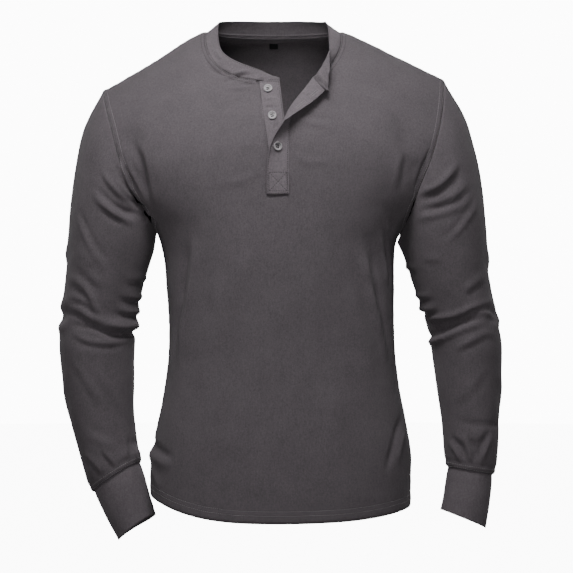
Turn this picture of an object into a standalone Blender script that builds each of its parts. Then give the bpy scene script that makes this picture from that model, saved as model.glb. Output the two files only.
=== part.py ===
"""Long-sleeve henley t-shirt, filled out as if worn, with nobody in it.

Frame: metres, +Z up, the chest faces -Y, the wearer's left is at +X.
Origin: the neck base, midway between the two high shoulder points.

The outer face of the whole garment is worked out first, as one skin of quads.
Each quad belongs to the piece of cloth it is cut from. The skin is then cut along
the seams, a hair is taken off each edge, and every piece gets its wall. Pieces that
meet share their corner normals, so their walls are mitred and stay clear.
"""
import math
from bisect import bisect_right
from collections import namedtuple

import bmesh
import bpy
from mathutils import Matrix, Vector

MM = 0.001

# ---------------------------------------------------------------- driving sizes, mm
WALL = 1.5                    # cloth with its seam allowances
SEAM_GAP = 0.36               # clear space between two pieces at a seam
LAY = 1.9                     # an upper layer's face above the face it lies on
PLACKET_WIDTH = 29.5
PLACKET_TUCK = 5.6            # the button strip stops this short of the overlap's seam
HEM_Z = -674
HEM_RISE = {-1: 30, 1: 14}    # the hem's lift at each side seam
HEM_RISE_POWER = 2.5
BODY_ROUND = 2.3              # superellipse power of the torso's cross-section

# quads along each stretch
BODY_ROWS = 10                # hem to armpit
CHEST_ROWS = 2                # armpit to the foot of the placket
SLIT_ROWS = 7                 # foot of the placket to its top corner
NECK_ROWS = 5                 # top corner of the placket to the shoulder seam
SIDE_COLUMNS = 8              # armhole to neck, or side seam to placket
PLACKET_COLUMNS = 3
BACK_NECK_COLUMNS = 8
STRIP_COLUMNS = 6
BAND_ROWS = 4
CAP_ROWS = 4                  # armhole to the first full ring of the sleeve
YOKE_ROWS = SLIT_ROWS + NECK_ROWS
ARMHOLE_ROWS = CHEST_ROWS + YOKE_ROWS
RING_POINTS = 2 * ARMHOLE_ROWS

RIGHT, LEFT = -1, 1           # the wearer's sides, as signs of X
FRONT, BACK = -1, 1           # signs of Y

# ---------------------------------------------------------------- tables, mm
# Torso cross-sections from the hem up. Above the armpits the half-widths are those
# of the full chest and shoulders, which the armholes cut off.
Section = namedtuple("Section", "z right left front back")
TORSO = [
    Section(-700, 171, 192, 120, 110),
    Section(-640, 171, 193, 119, 110),
    Section(-592, 171, 194, 118, 108),
    Section(-570, 166, 191, 117, 106),
    Section(-542, 160, 184, 115, 102),
    Section(-500, 151, 176, 113, 96),
    Section(-459, 146, 172, 112, 92),
    Section(-403, 145, 169, 113, 93),
    Section(-347, 150, 168, 116, 101),
    Section(-291, 155, 171, 118, 110),
    Section(-250, 191, 206, 118, 116),
    Section(-215, 221, 231, 118, 117),
    Section(-180, 242, 251, 117, 117),
    Section(-140, 257, 262, 114, 115),
    Section(-100, 262, 263, 110, 110),
    Section(-60, 262, 262, 104, 103),
    Section(30, 262, 262, 95, 88),
]

# Height of the shoulder line at a distance from the middle. Inside the neck it is
# the height that the chest and back would round up to.
Shoulder = namedtuple("Shoulder", "x right_z left_z front_fall back_fall")
SHOULDERS = [
    Shoulder(0, 25, 25, 190, 120),
    Shoulder(60, 14, 14, 190, 120),
    Shoulder(95, 0, 0, 185, 118),
    Shoulder(120, -12, -10, 178, 115),
    Shoulder(150, -33, -25, 165, 110),
    Shoulder(185, -54, -42, 150, 105),
    Shoulder(215, -71, -57, 135, 100),
    Shoulder(240, -85, -70, 120, 95),
    Shoulder(270, -99, -85, 115, 92),
]
ON_SHOULDER = 0.01            # nearer than this to the shoulder line is on it
FRONT_PROFILE_POWER = 1.5
BACK_PROFILE_POWER = 2.0
BACK_RIDGE = 10               # lift that carries the back over the shoulder seam
BACK_RIDGE_SPAN = 0.12        # share of the back's fall that it takes up
BACK_RIDGE_FADE = 45          # it comes in over this length, outward from the neck

# Armholes, from the armpit up to the shoulder tip, as seen from the front.
Armhole = namedtuple("Armhole", "right_x right_z left_x left_z")
ARMHOLES = [
    Armhole(159, -283, 170, -297),
    Armhole(172, -260, 184, -268),
    Armhole(187, -237, 195, -236),
    Armhole(202, -207, 207, -206),
    Armhole(212, -174, 219, -175),
    Armhole(221, -140, 228, -143),
    Armhole(230, -111, 235, -109),
    Armhole(238, -84, 239, -69),
]

Place = namedtuple("Place", "x z")
# The front's edge from the foot of the placket opening up to its top corner.
SLIT_RIGHT = [Place(-7, -231), Place(-7.5, -167), Place(-13.5, -130), Place(-20, -77.5)]
SLIT_LEFT = [Place(22, -231), Place(21.8, -160), Place(23, -133), Place(29, -117),
             Place(39, -102), Place(51, -87), Place(60, -76)]
# The front's neckline from that corner up to the shoulder seam.
NECK_RIGHT = [Place(-20, -77.5), Place(-51, -71), Place(-72.5, -59.5), Place(-89, -39),
              Place(-95.5, -16), Place(-95, 0)]
NECK_LEFT = [Place(60, -76), Place(70, -66), Place(79, -55), Place(89.5, -38),
             Place(96, -16), Place(95, 0)]
BACK_NECK_Z = -1
NECK_X = 95

# Sleeve rings below the cap: the outer and inner ends of each, its middle depth, its
# half-depth, and how far the outer end swings back. The last ring is the cuff seam.
Ring = namedtuple("Ring", "outer_x outer_z inner_x inner_z y deep swing")
SLEEVE_RIGHT = [
    Ring(-285, -270, -167, -312, 3, 66, 0),
    Ring(-291, -335, -182, -358, 6, 60, 0),
    Ring(-295, -378, -189, -392, 10, 56, 2),
    Ring(-298, -406, -190, -411, 12, 54, 4),
    Ring(-300, -438, -193.5, -434, 13, 55, 5),
    Ring(-298, -465, -194, -458, 13, 53, 6),
    Ring(-291, -505, -194, -493, 11, 49, 8),
    Ring(-281, -548, -195, -530, 8, 45, 9),
    Ring(-269, -592, -191.5, -563, 4, 42, 10),
    Ring(-257.5, -636, -187.5, -590, 1, 39, 11),
    Ring(-249, -643, -186, -599, 0, 34, 11),
]
SLEEVE_LEFT = [
    Ring(299, -283, 184, -318, 3, 65, 0),
    Ring(302, -345, 197, -356, 6, 60, 0),
    Ring(309, -375, 205, -383, 10, 57, 2),
    Ring(316, -403, 214, -405, 12, 55, 4),
    Ring(321, -440, 219, -434, 13, 54, 5),
    Ring(320, -462, 223, -457, 13, 52, 6),
    Ring(318, -500, 228.5, -498, 11, 47, 8),
    Ring(315.5, -545, 237, -540, 8, 43, 9),
    Ring(314, -580, 239.5, -574, 4, 40, 10),
    Ring(312, -608, 240.5, -596, 1, 37, 10),
    Ring(306, -618, 244.5, -606, 0, 33, 10),
]
CUFF_RIGHT = [
    Ring(-232, -680, -175, -638, -1, 32, 11),
    Ring(-214, -711, -164.5, -671.5, -2, 29, 11),
]
CUFF_LEFT = [
    Ring(301, -658, 239.5, -639, -1, 32, 10),
    Ring(295.5, -693.5, 234, -666, -2, 30, 10),
]

# The neckband's top edge, measured from its seam, and how far its middle bows off the
# straight line between them, at stations along the seam: 0 is the button end, 1 the
# right slit corner, 2 the right shoulder, 3 the back's middle, 4 the left shoulder,
# 5 the left slit corner and 6 the rolled-out end.
Stand = namedtuple("Stand", "station x y z bow_x bow_y bow_z")
BAND = [
    Stand(0.0, -1, 20, 6, 0, -2, 2),
    Stand(0.5, 0, 18, 11, 0, -2, 2),
    Stand(1.0, 2, 13, 17, 0, -2, 1),
    Stand(1.25, 5, 7, 20, 0, -2, 0),
    Stand(1.5, 12, 7, 17, -1, -1, 0),
    Stand(1.75, 18, 11, 6, 0, -1, 1),
    Stand(2.0, 18, 4, 11, 0, 0, 1),
    Stand(2.4, 10, -6, 18, -1, 1, 0),
    Stand(3.0, 0, -5, 21, 0, 1, 0),
    Stand(3.6, -10, -6, 18, 1, 1, 0),
    Stand(4.0, -18, 4, 11, 0, 0, 1),
    Stand(4.25, -18, 1, 4, 0, -1, 2),
    Stand(4.5, -10, -13, 3, -4, -1, 4),
    Stand(4.75, 3, -18, 4, -7, -4, 8),
    Stand(5.0, 17, -11, 9, -8, -5, 4),
    Stand(5.5, 19.5, -8, -6, -1, -4, 3),
    Stand(6.0, 5, -3, -3.5, 0, -4, 1.5),
]

# The overlap strip, per level up its seam: where its middle and its free edge lie
# on the chest, and how far each is lifted off it.
Roll = namedtuple("Roll", "level mid_x mid_z mid_lift edge_x edge_z edge_lift")
OVERLAP = [
    Roll(0.00, 7.3, -233, 1.9, -7.5, -233, 1.9),
    Roll(0.19, 7.3, -200, 1.9, -7.5, -200, 1.9),
    Roll(0.38, 7.0, -168, 2.6, -5, -171, 6),
    Roll(0.47, 9.5, -154, 7, 2, -156, 15),
    Roll(0.55, 12, -143, 12, 11.5, -144.5, 22),
    Roll(0.64, 16, -131.5, 12, 26, -132.5, 17),
    Roll(0.74, 22.5, -119, 10, 42, -121, 14),
    Roll(0.85, 35, -105, 8, 56, -111, 11),
    Roll(1.00, 55, -77.5, 6, 69.5, -95.5, 9),
]

# Buttons: the strip that carries each, and its place there as shares of the strip's
# length, from its foot, and of its width, from its seam.
Button = namedtuple("Button", "name on level across")
BUTTONS = [
    Button("button_1", "under", 0.925, 0.42),
    Button("button_2", "under", 0.68, 0.46),
    Button("button_3", "over", 0.375, 0.54),
]
BUTTON_RADIUS = 5.8
BUTTON_HEIGHT = 2.4
BUTTON_SIDES = 14
BUTTON_SINK = 0.75            # depth of the dish inside the rim
BUTTON_CLEAR = 0.4
BUTTON_SEAT = (0.036, 0.18)    # its radius as shares of the strip's length and width
HOLE_RADIUS = 0.75
HOLE_REACH = 1.35             # hole centres from the button's middle, each way
HOLE_SIDES = 6

THIN_WALL = 1.0               # tape and label
INSIDE_GAP = 1.0              # from the back's inner face to the tape and label
TAPE_TOP = 1.5                # below the back neck seam
TAPE_WIDTH = 8
TAPE_INSET = 0.5              # of a column, short of each shoulder seam
LABEL_TOP = 10
LABEL_HEIGHT = 9
LABEL_HALF = 0.18             # half-width as a share of the columns beside it

# ---------------------------------------------------------------- colours, linear
JERSEY = (0.085, 0.079, 0.083)
JERSEY_RIB = (0.095, 0.088, 0.093)
HORN = (0.055, 0.050, 0.052)
LABEL_BLACK = (0.008, 0.009, 0.010)


# ---------------------------------------------------------------- reading tables
def slope(keys, values, i):
    lo = max(i - 1, 0)
    hi = min(i + 1, len(keys) - 1)
    return (values[hi] - values[lo]) / (keys[hi] - keys[lo])


def read(keys, values, at):
    """Smooth value of a table at a key, through each of its rows."""
    at = min(max(at, keys[0]), keys[-1])
    i = min(bisect_right(keys, at), len(keys) - 1)
    span = keys[i] - keys[i - 1]
    t = (at - keys[i - 1]) / span
    start, end = values[i - 1], values[i]
    start_slope = slope(keys, values, i - 1) * span
    end_slope = slope(keys, values, i) * span
    return (start * (1 + 2 * t) * (1 - t) ** 2 + start_slope * t * (1 - t) ** 2
            + end * t * t * (3 - 2 * t) - end_slope * t * t * (1 - t))


def column(table, key, name, at):
    keys = [getattr(row, key) for row in table]
    values = [getattr(row, name) for row in table]
    return read(keys, values, at)


def along(places, fraction):
    """Point at a fraction of the length of a smooth line through the places."""
    points = [Vector((place.x, 0, place.z)) for place in places]
    lengths = [0.0]
    for before, after in zip(points, points[1:]):
        lengths.append(lengths[-1] + (after - before).length)
    return read(lengths, points, fraction * lengths[-1])


def mix(a, b, t):
    return a * (1 - t) + b * t


# ---------------------------------------------------------------- the body's skin
def half_width(z, side):
    return column(TORSO, "z", "right" if side == RIGHT else "left", z)


def full_depth(z, facing):
    return column(TORSO, "z", "front" if facing == FRONT else "back", z)


def shoulder_z(x):
    return column(SHOULDERS, "x", "right_z" if x < 0 else "left_z", abs(x))


def skin(x, z, facing):
    """Point of the chest or back at a place seen from the front."""
    reach = min(abs(x) / half_width(z, RIGHT if x < 0 else LEFT), 1.0)
    roundness = (1 - reach ** BODY_ROUND) ** (1 / BODY_ROUND)
    front = facing == FRONT
    fall = column(SHOULDERS, "x", "front_fall" if front else "back_fall", abs(x))
    power = FRONT_PROFILE_POWER if front else BACK_PROFILE_POWER
    below = shoulder_z(x) - z
    drop = min(below / fall, 1.0) if below > ON_SHOULDER else 0.0
    profile = (1 - (1 - drop) ** power) ** (1 / power)
    ridge = 0.0
    if not front:
        fade = min(max((abs(x) - NECK_X) / BACK_RIDGE_FADE, 0), 1)
        ridge = BACK_RIDGE * fade * math.sin(math.pi * min(drop / BACK_RIDGE_SPAN, 1.0))
    return Vector((x, facing * full_depth(z, facing) * roundness * profile, z + ridge))


def turned(angle, z, facing):
    """Point of the torso at an angle round it, from 0 at the left side seam."""
    across = math.cos(angle)
    side = LEFT if across > 0 else RIGHT
    power = 2 / BODY_ROUND
    x = side * half_width(z, side) * abs(across) ** power
    y = facing * full_depth(z, facing) * abs(math.sin(angle)) ** power
    return Vector((x, y, z))


def angle_of(x, z):
    """Angle round the torso of a point that far from the middle."""
    side = LEFT if x > 0 else RIGHT
    reach = min(abs(x) / half_width(z, side), 1.0)
    return math.acos(side * reach ** (BODY_ROUND / 2))


def lay(x, z, facing, lift):
    """Point lifted square off the skin."""
    step = 1.0
    across = skin(x + step, z, facing) - skin(x - step, z, facing)
    up = skin(x, z + step, facing) - skin(x, z - step, facing)
    normal = up.cross(across) * facing
    return skin(x, z, facing) + normal.normalized() * lift


# ---------------------------------------------------------------- torso panels
def armhole_place(side, row):
    """Place of an armhole's edge seen from the front, row 0 at the armpit."""
    name = "right" if side == RIGHT else "left"
    places = [Place(side * getattr(a, name + "_x"), getattr(a, name + "_z")) for a in ARMHOLES]
    at = along(places, row / ARMHOLE_ROWS)
    if row == ARMHOLE_ROWS:
        at.z = shoulder_z(at.x)
    return at


def armhole(side, row, facing):
    """Point of an armhole's edge on the chest or back."""
    at = armhole_place(side, row)
    if row == 0:
        return turned(0 if side == LEFT else math.pi, at.z, facing)
    return skin(at.x, at.z, facing)


def slit(side, row):
    return along(SLIT_RIGHT if side == RIGHT else SLIT_LEFT, row / SLIT_ROWS)


def neck_edge(side, row):
    """Front edge from the foot of the placket opening (row 0) to the shoulder."""
    if row <= SLIT_ROWS:
        return slit(side, row)
    return along(NECK_RIGHT if side == RIGHT else NECK_LEFT, (row - SLIT_ROWS) / NECK_ROWS)


def body_level(row, angle):
    """Height of a row of the torso, from the hem (row 0) to the armpits."""
    across = math.cos(angle)
    side = LEFT if across > 0 else RIGHT
    hem = HEM_Z + HEM_RISE[side] * abs(across) ** HEM_RISE_POWER
    right_pit, left_pit = ARMHOLES[0].right_z, ARMHOLES[0].left_z
    pit = mix(right_pit, left_pit, (1 + across) / 2)
    return mix(hem, pit, row / BODY_ROWS)


def chest_level(row, angle, angles):
    """Height of a row between the armpits and the foot of the placket."""
    right_z = armhole_place(RIGHT, row).z
    left_z = armhole_place(LEFT, row).z
    pit_middle = (ARMHOLES[0].right_z + ARMHOLES[0].left_z) / 2
    middle = mix(pit_middle, SLIT_RIGHT[0].z, row / CHEST_ROWS)
    edge = right_z if angle > math.pi / 2 else left_z
    end = angles[0] if angle > math.pi / 2 else angles[-1]
    reach = abs(angle - math.pi / 2) / abs(end - math.pi / 2)
    return mix(middle, edge, reach * reach)


def spread(stops, counts):
    """Angles from stop to stop, evenly spaced by count in each stretch."""
    angles = [stops[0]]
    for start, end, count in zip(stops, stops[1:], counts):
        angles += [mix(start, end, i / count) for i in range(1, count + 1)]
    return angles


def torso_rows(facing, middle_places, counts):
    """Rows of points from the hem to the foot of the placket, right side first."""
    rows = []
    for row in range(BODY_ROWS + CHEST_ROWS + 1):
        chest = row - BODY_ROWS
        level = mix(HEM_Z, SLIT_RIGHT[0].z, row / (BODY_ROWS + CHEST_ROWS))
        ends = [math.pi, 0.0]
        if chest > 0:
            places = [armhole_place(side, chest) for side in (RIGHT, LEFT)]
            ends = [angle_of(place.x, place.z) for place in places]
        stops = [ends[0]] + [angle_of(x, level) for x in middle_places] + [ends[1]]
        angles = spread(stops, counts)
        if chest <= 0:
            rows.append([turned(a, body_level(row, a), facing) for a in angles])
        else:
            rows.append([turned(a, chest_level(chest, a, angles), facing) for a in angles])
    return rows


def coons(bottom, top, start, end, facing):
    """Rows of skin points filled in between four edges, as seen from the front."""
    rows = []
    for j in range(len(start)):
        v = j / (len(start) - 1)
        row = []
        for i in range(len(bottom)):
            u = i / (len(bottom) - 1)
            corners = mix(mix(bottom[0], bottom[-1], u), mix(top[0], top[-1], u), v)
            at = mix(start[j], end[j], u) + mix(bottom[i], top[i], v) - corners
            row.append(skin(at.x, at.z, facing))
        rows.append(row)
    return rows


def shoulder_seam(side):
    """Places from the shoulder tip to the neck, both ends included."""
    tip = armhole_place(side, ARMHOLE_ROWS).x
    xs = [mix(tip, side * NECK_X, i / SIDE_COLUMNS) for i in range(SIDE_COLUMNS + 1)]
    return [Vector((x, 0, shoulder_z(x))) for x in xs]


def yoke_edge(side):
    """Armhole places from the foot of the placket up to the shoulder tip."""
    return [armhole_place(side, CHEST_ROWS + j) for j in range(YOKE_ROWS + 1)]


def front_blocks():
    """The front: below the placket, and on either side of it."""
    slit_foot = [SLIT_RIGHT[0].x, SLIT_LEFT[0].x]
    counts = [SIDE_COLUMNS, PLACKET_COLUMNS, SIDE_COLUMNS]
    lower = torso_rows(FRONT, slit_foot, counts)
    blocks = [lower]
    foot = lower[-1]
    for side in (RIGHT, LEFT):
        bottom = foot[:SIDE_COLUMNS + 1] if side == RIGHT else foot[::-1][:SIDE_COLUMNS + 1]
        inner = [neck_edge(side, j) for j in range(YOKE_ROWS + 1)]
        rows = coons(bottom, shoulder_seam(side), yoke_edge(side), inner, FRONT)
        rows[0] = list(bottom)
        blocks.append(rows if side == RIGHT else [row[::-1] for row in rows])
    return blocks


def back_neckline():
    """Places along the back's neck edge, between the two shoulder seams."""
    places = []
    for i in range(1, BACK_NECK_COLUMNS):
        turn = math.pi * i / BACK_NECK_COLUMNS
        places.append(Vector((-NECK_X * math.cos(turn), 0, BACK_NECK_Z * math.sin(turn))))
    return places


def back_blocks():
    """The back: one panel from hem to shoulders and neck."""
    places = [-NECK_X * 0.5, NECK_X * 0.5]
    counts = [SIDE_COLUMNS, BACK_NECK_COLUMNS, SIDE_COLUMNS]
    lower = torso_rows(BACK, places, counts)
    top = shoulder_seam(RIGHT) + back_neckline() + shoulder_seam(LEFT)[::-1]
    upper = coons(lower[-1], top, yoke_edge(RIGHT), yoke_edge(LEFT), BACK)
    upper[0] = list(lower[-1])
    return [lower, upper]


# ---------------------------------------------------------------- sleeves and cuffs
def ring_points(ring, side):
    """Points round a sleeve, from its outer side by way of the front."""
    outer = Vector((ring.outer_x, ring.y + ring.swing, ring.outer_z))
    inner = Vector((ring.inner_x, ring.y - ring.swing, ring.inner_z))
    middle = (outer + inner) / 2
    out = (outer - inner) / 2
    ahead = Vector((side * ring.swing / out.length, -1, 0)).normalized() * ring.deep
    points = []
    for i in range(RING_POINTS):
        turn = 2 * math.pi * i / RING_POINTS
        points.append(middle + out * math.cos(turn) + ahead * math.sin(turn))
    return points


def armhole_ring(side):
    """Armhole points from the shoulder tip down the front and up the back."""
    down = [armhole(side, ARMHOLE_ROWS - i, FRONT) for i in range(ARMHOLE_ROWS + 1)]
    up = [armhole(side, i, BACK) for i in range(1, ARMHOLE_ROWS)]
    return down + up


def cap_rows(side, rings):
    """The sleeve's cap, leaving the shoulder outwards and turning down the arm."""
    start = armhole_ring(side)
    end = ring_points(rings[0], side)
    onward = ring_points(rings[1], side)
    rows = []
    for j in range(CAP_ROWS):
        t = j / CAP_ROWS
        row = []
        for i, (a, b, c) in enumerate(zip(start, end, onward)):
            turn = 2 * math.pi * i / RING_POINTS
            top = (1 + math.cos(turn)) / 2
            reach = (b - a).length
            ahead = -0.35 * math.sin(turn)
            leave = Vector((side * (0.35 + 0.6 * top), ahead, 0.45 * top - 0.9))
            leave = leave.normalized() * reach * 0.62
            arrive = (c - b).normalized() * reach * 0.9
            row.append(a * (1 + 2 * t) * (1 - t) ** 2 + leave * t * (1 - t) ** 2
                       + b * t * t * (3 - 2 * t) - arrive * t * t * (1 - t))
        rows.append(row)
    return rows


def sleeve_rows(side):
    rings = SLEEVE_RIGHT if side == RIGHT else SLEEVE_LEFT
    rows = cap_rows(side, rings) + [ring_points(ring, side) for ring in rings]
    return closed(rows)


def cuff_rows(side):
    seam = (SLEEVE_RIGHT if side == RIGHT else SLEEVE_LEFT)[-1]
    rings = [seam] + (CUFF_RIGHT if side == RIGHT else CUFF_LEFT)
    return closed([ring_points(ring, side) for ring in rings])


def closed(rows):
    return [row + row[:1] for row in rows]


# ---------------------------------------------------------------- placket strips
def under_rows():
    """The button strip, level with the front, from its foot up."""
    rows = []
    for row in range(SLIT_ROWS + 1):
        edge = slit(RIGHT, row)
        free = min(edge.x + PLACKET_WIDTH, slit(LEFT, row).x - PLACKET_TUCK)
        xs = [mix(edge.x, free, i / PLACKET_COLUMNS) for i in range(PLACKET_COLUMNS + 1)]
        z = edge.z + (SEAM_GAP * 2 if row == 0 else 0)
        rows.append([skin(x, edge.z if i == 0 else z, FRONT) for i, x in enumerate(xs)])
    return rows


def overlap_point(level, across):
    """Point of the overlap strip: up its seam, and from its seam to its free edge."""
    seam = along(SLIT_LEFT, level)
    seam = Vector((seam.x, 0, seam.z))
    read_roll = {name: column(OVERLAP, "level", name, level) for name in Roll._fields[1:]}
    mid = Vector((read_roll["mid_x"], read_roll["mid_lift"], read_roll["mid_z"]))
    edge = Vector((read_roll["edge_x"], read_roll["edge_lift"], read_roll["edge_z"]))
    at = (seam * (1 - across) * (1 - 2 * across) + mid * 4 * across * (1 - across)
          + edge * across * (2 * across - 1))
    lift = max(at.y, LAY * min(across * STRIP_COLUMNS, 1.0))
    return lay(at.x, at.z, FRONT, lift)


def overlap_rows():
    """The overlap strip, its free edge first, boxed at its foot and rolled open above."""
    rows = []
    for row in range(SLIT_ROWS + 1):
        level = row / SLIT_ROWS
        points = [overlap_point(level, i / STRIP_COLUMNS) for i in range(STRIP_COLUMNS + 1)]
        seam = slit(LEFT, row)
        points[0] = skin(seam.x, seam.z, FRONT)
        if row == 0:
            points[0] = lay(seam.x, OVERLAP[0].edge_z, FRONT, LAY)
        rows.append(points[::-1])
    return rows


# ---------------------------------------------------------------- neckband
def band_seam():
    """Seam points of the neckband with their stations, from the button end round."""
    strip = under_rows()[-1][::-1]
    right = [neck_edge(RIGHT, SLIT_ROWS + i) for i in range(1, NECK_ROWS + 1)]
    left = [neck_edge(LEFT, YOKE_ROWS - i) for i in range(1, NECK_ROWS + 1)]
    flap = overlap_rows()[-1][::-1]
    seam = [(p, i / PLACKET_COLUMNS) for i, p in enumerate(strip)]
    seam += [(skin(p.x, p.z, FRONT), 1 + (i + 1) / NECK_ROWS) for i, p in enumerate(right)]
    back = [skin(p.x, p.z, BACK) for p in back_neckline()]
    seam += [(p, 2 + 2 * (i + 1) / BACK_NECK_COLUMNS) for i, p in enumerate(back)]
    shoulder = skin(NECK_X, 0, FRONT)
    seam.append((shoulder, 4.0))
    seam += [(skin(p.x, p.z, FRONT), 4 + (i + 1) / NECK_ROWS) for i, p in enumerate(left)]
    seam += [(p, 5 + i / STRIP_COLUMNS) for i, p in enumerate(flap) if i > 0]
    return seam


def band_rows():
    """The band from its seam to its top edge, a little full in the middle."""
    rows = [[] for _ in range(BAND_ROWS + 1)]
    for point, station in band_seam():
        stand = Vector([column(BAND, "station", name, station) for name in "xyz"])
        bow = Vector([column(BAND, "station", "bow_" + name, station) for name in "xyz"])
        for j, row in enumerate(rows):
            up = j / BAND_ROWS
            row.append(point + stand * up + bow * 4 * up * (1 - up))
    return rows


# ---------------------------------------------------------------- cutting the skin
def add_block(mesh, layer, number, rows):
    """Adds a block of quads to the skin, marked with the number of its piece."""
    verts = [[mesh.verts.new(point * MM) for point in row] for row in rows]
    for low, high in zip(verts, verts[1:]):
        for i in range(len(low) - 1):
            face = mesh.faces.new([low[i], low[i + 1], high[i + 1], high[i]])
            face[layer] = number


def face_out(mesh):
    """Turns the whole skin one way, with the front of the hem facing the viewer."""
    bmesh.ops.recalc_face_normals(mesh, faces=mesh.faces)
    mesh.normal_update()
    foremost = min(mesh.faces, key=lambda face: face.calc_center_median().y)
    if foremost.normal.y > 0:
        bmesh.ops.reverse_faces(mesh, faces=mesh.faces)
    mesh.normal_update()


def inward(vert, faces):
    """Direction from a seam corner into its own piece."""
    pull = Vector()
    for face in faces:
        pull += (face.calc_center_median() - vert.co).normalized()
    pull -= vert.normal * pull.dot(vert.normal)
    return pull.normalized()


def piece_mesh(mesh, layer, number, wall, name):
    """Closed solid of one piece: outer face, inner face and the rim between them."""
    faces = [face for face in mesh.faces if face[layer] == number]
    own = {}
    for face in faces:
        for vert in face.verts:
            own.setdefault(vert, []).append(face)
    order = {vert: i for i, vert in enumerate(own)}
    outer = []
    inner = []
    for vert, touching in own.items():
        at = vert.co.copy()
        if len(touching) < len(vert.link_faces):
            at += inward(vert, touching) * (SEAM_GAP * MM / 2)
        outer.append(at)
        inner.append(at - vert.normal * (wall * MM))
    count = len(outer)
    quads = []
    for face in faces:
        loop = [order[vert] for vert in face.verts]
        quads.append(loop)
        quads.append([i + count for i in reversed(loop)])
        for edge in face.edges:
            if sum(other[layer] == number for other in edge.link_faces) > 1:
                continue
            a, b = [order[v] for v in edge.verts]
            place = loop.index(a)
            if loop[(place + 1) % len(loop)] != b:
                a, b = b, a
            quads.append([b, a, a + count, b + count])
    solid = bpy.data.meshes.new(name)
    solid.from_pydata(outer + inner, [], quads)
    solid.update()
    return solid


# ---------------------------------------------------------------- objects
def material(name, colour, roughness):
    made = bpy.data.materials.new(name)
    made.use_nodes = True
    shader = made.node_tree.nodes["Principled BSDF"]
    shader.inputs["Base Color"].default_value = (*colour, 1)
    shader.inputs["Roughness"].default_value = roughness
    shader.inputs["Metallic"].default_value = 0
    made.diffuse_color = (*colour, 1)
    return made


def add_object(name, mesh, colour, roughness):
    part = bpy.data.objects.new(name, mesh)
    bpy.context.collection.objects.link(part)
    part.data.materials.append(material(name, colour, roughness))
    part.data.shade_smooth()
    return part


def build_cloth():
    """All the sewn pieces that meet edge to edge, cut from one skin."""
    mesh = bmesh.new()
    layer = mesh.faces.layers.int.new("piece")
    pieces = [
        ("front", JERSEY, front_blocks()),
        ("back", JERSEY, back_blocks()),
        ("sleeve_right", JERSEY, [sleeve_rows(RIGHT)]),
        ("sleeve_left", JERSEY, [sleeve_rows(LEFT)]),
        ("cuff_right", JERSEY_RIB, [cuff_rows(RIGHT)]),
        ("cuff_left", JERSEY_RIB, [cuff_rows(LEFT)]),
        ("placket_under", JERSEY, [under_rows()]),
        ("placket_over", JERSEY, [overlap_rows()]),
        ("neckband", JERSEY_RIB, [band_rows()]),
    ]
    for number, (_, _, blocks) in enumerate(pieces, 1):
        for rows in blocks:
            add_block(mesh, layer, number, rows)
    bmesh.ops.remove_doubles(mesh, verts=mesh.verts, dist=0.02 * MM)
    face_out(mesh)
    for number, (name, colour, _) in enumerate(pieces, 1):
        add_object(name, piece_mesh(mesh, layer, number, WALL, name), colour, 0.9)
    mesh.free()


def down_back(rows, i, distance):
    """Point down one edge line of the back, measured from the neck seam."""
    for high, low in zip(rows[::-1], rows[-2::-1]):
        length = (low[i] - high[i]).length
        if distance <= length:
            return mix(high[i], low[i], distance / length)
        distance -= length
    return rows[0][i]


def inside_back(rows, place, distance, depth):
    """Point inside the back, parallel to its flats; place counts its columns."""
    def on_face(at, down):
        i = min(int(at), len(rows[0]) - 2)
        return mix(down_back(rows, i, down), down_back(rows, i + 1, down), at - i)

    step = 0.01
    here = on_face(place, distance)
    down = on_face(place, distance + step) - here
    across = on_face(place + step, distance) - on_face(place - step, distance)
    inwards = down.cross(across).normalized()
    if inwards.y > 0:
        inwards.negate()
    return here + inwards * depth


def build_inside_strip(name, places, top, height, colour):
    """A thin strip sewn flat to the inside of the back, below the neck seam."""
    mesh = bmesh.new()
    layer = mesh.faces.layers.int.new("piece")
    back = back_blocks()[1]
    depth = WALL + INSIDE_GAP + THIN_WALL
    drops = (top + height, top + height / 2, top)
    rows = [[inside_back(back, place, drop, depth) for place in places] for drop in drops]
    add_block(mesh, layer, 1, rows)
    mesh.normal_update()
    add_object(name, piece_mesh(mesh, layer, 1, THIN_WALL, name), colour, 0.9)
    mesh.free()


def build_tape_and_label():
    start, end = SIDE_COLUMNS, SIDE_COLUMNS + BACK_NECK_COLUMNS
    middle = (start + end) / 2
    places = [start + TAPE_INSET, *range(start + 1, end), end - TAPE_INSET]
    build_inside_strip("neck_tape", places, TAPE_TOP, TAPE_WIDTH, JERSEY_RIB)
    places = [middle - LABEL_HALF, middle, middle + LABEL_HALF]
    build_inside_strip("neck_label", places, LABEL_TOP, LABEL_HEIGHT, LABEL_BLACK)


def button_profile():
    """Half-outline of a button: flat back, round rim, dished middle; from its axis."""
    rim = BUTTON_RADIUS
    top = BUTTON_HEIGHT
    floor = top - BUTTON_SINK
    return [(0, 0), (rim * 0.86, 0), (rim, top * 0.4), (rim * 0.95, top * 0.85),
            (rim * 0.84, top), (rim * 0.7, top * 0.93), (rim * 0.58, floor), (0, floor)]


def button_mesh(name):
    mesh = bmesh.new()
    outline = [mesh.verts.new((r * MM, 0, h * MM)) for r, h in button_profile()]
    edges = [mesh.edges.new(pair) for pair in zip(outline, outline[1:])]
    bmesh.ops.spin(mesh, geom=outline + edges, cent=(0, 0, 0), axis=(0, 0, 1),
                   angle=2 * math.pi, steps=BUTTON_SIDES)
    bmesh.ops.remove_doubles(mesh, verts=mesh.verts, dist=0.01 * MM)
    bmesh.ops.recalc_face_normals(mesh, faces=mesh.faces)
    made = bpy.data.meshes.new(name)
    mesh.to_mesh(made)
    mesh.free()
    return made


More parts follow.
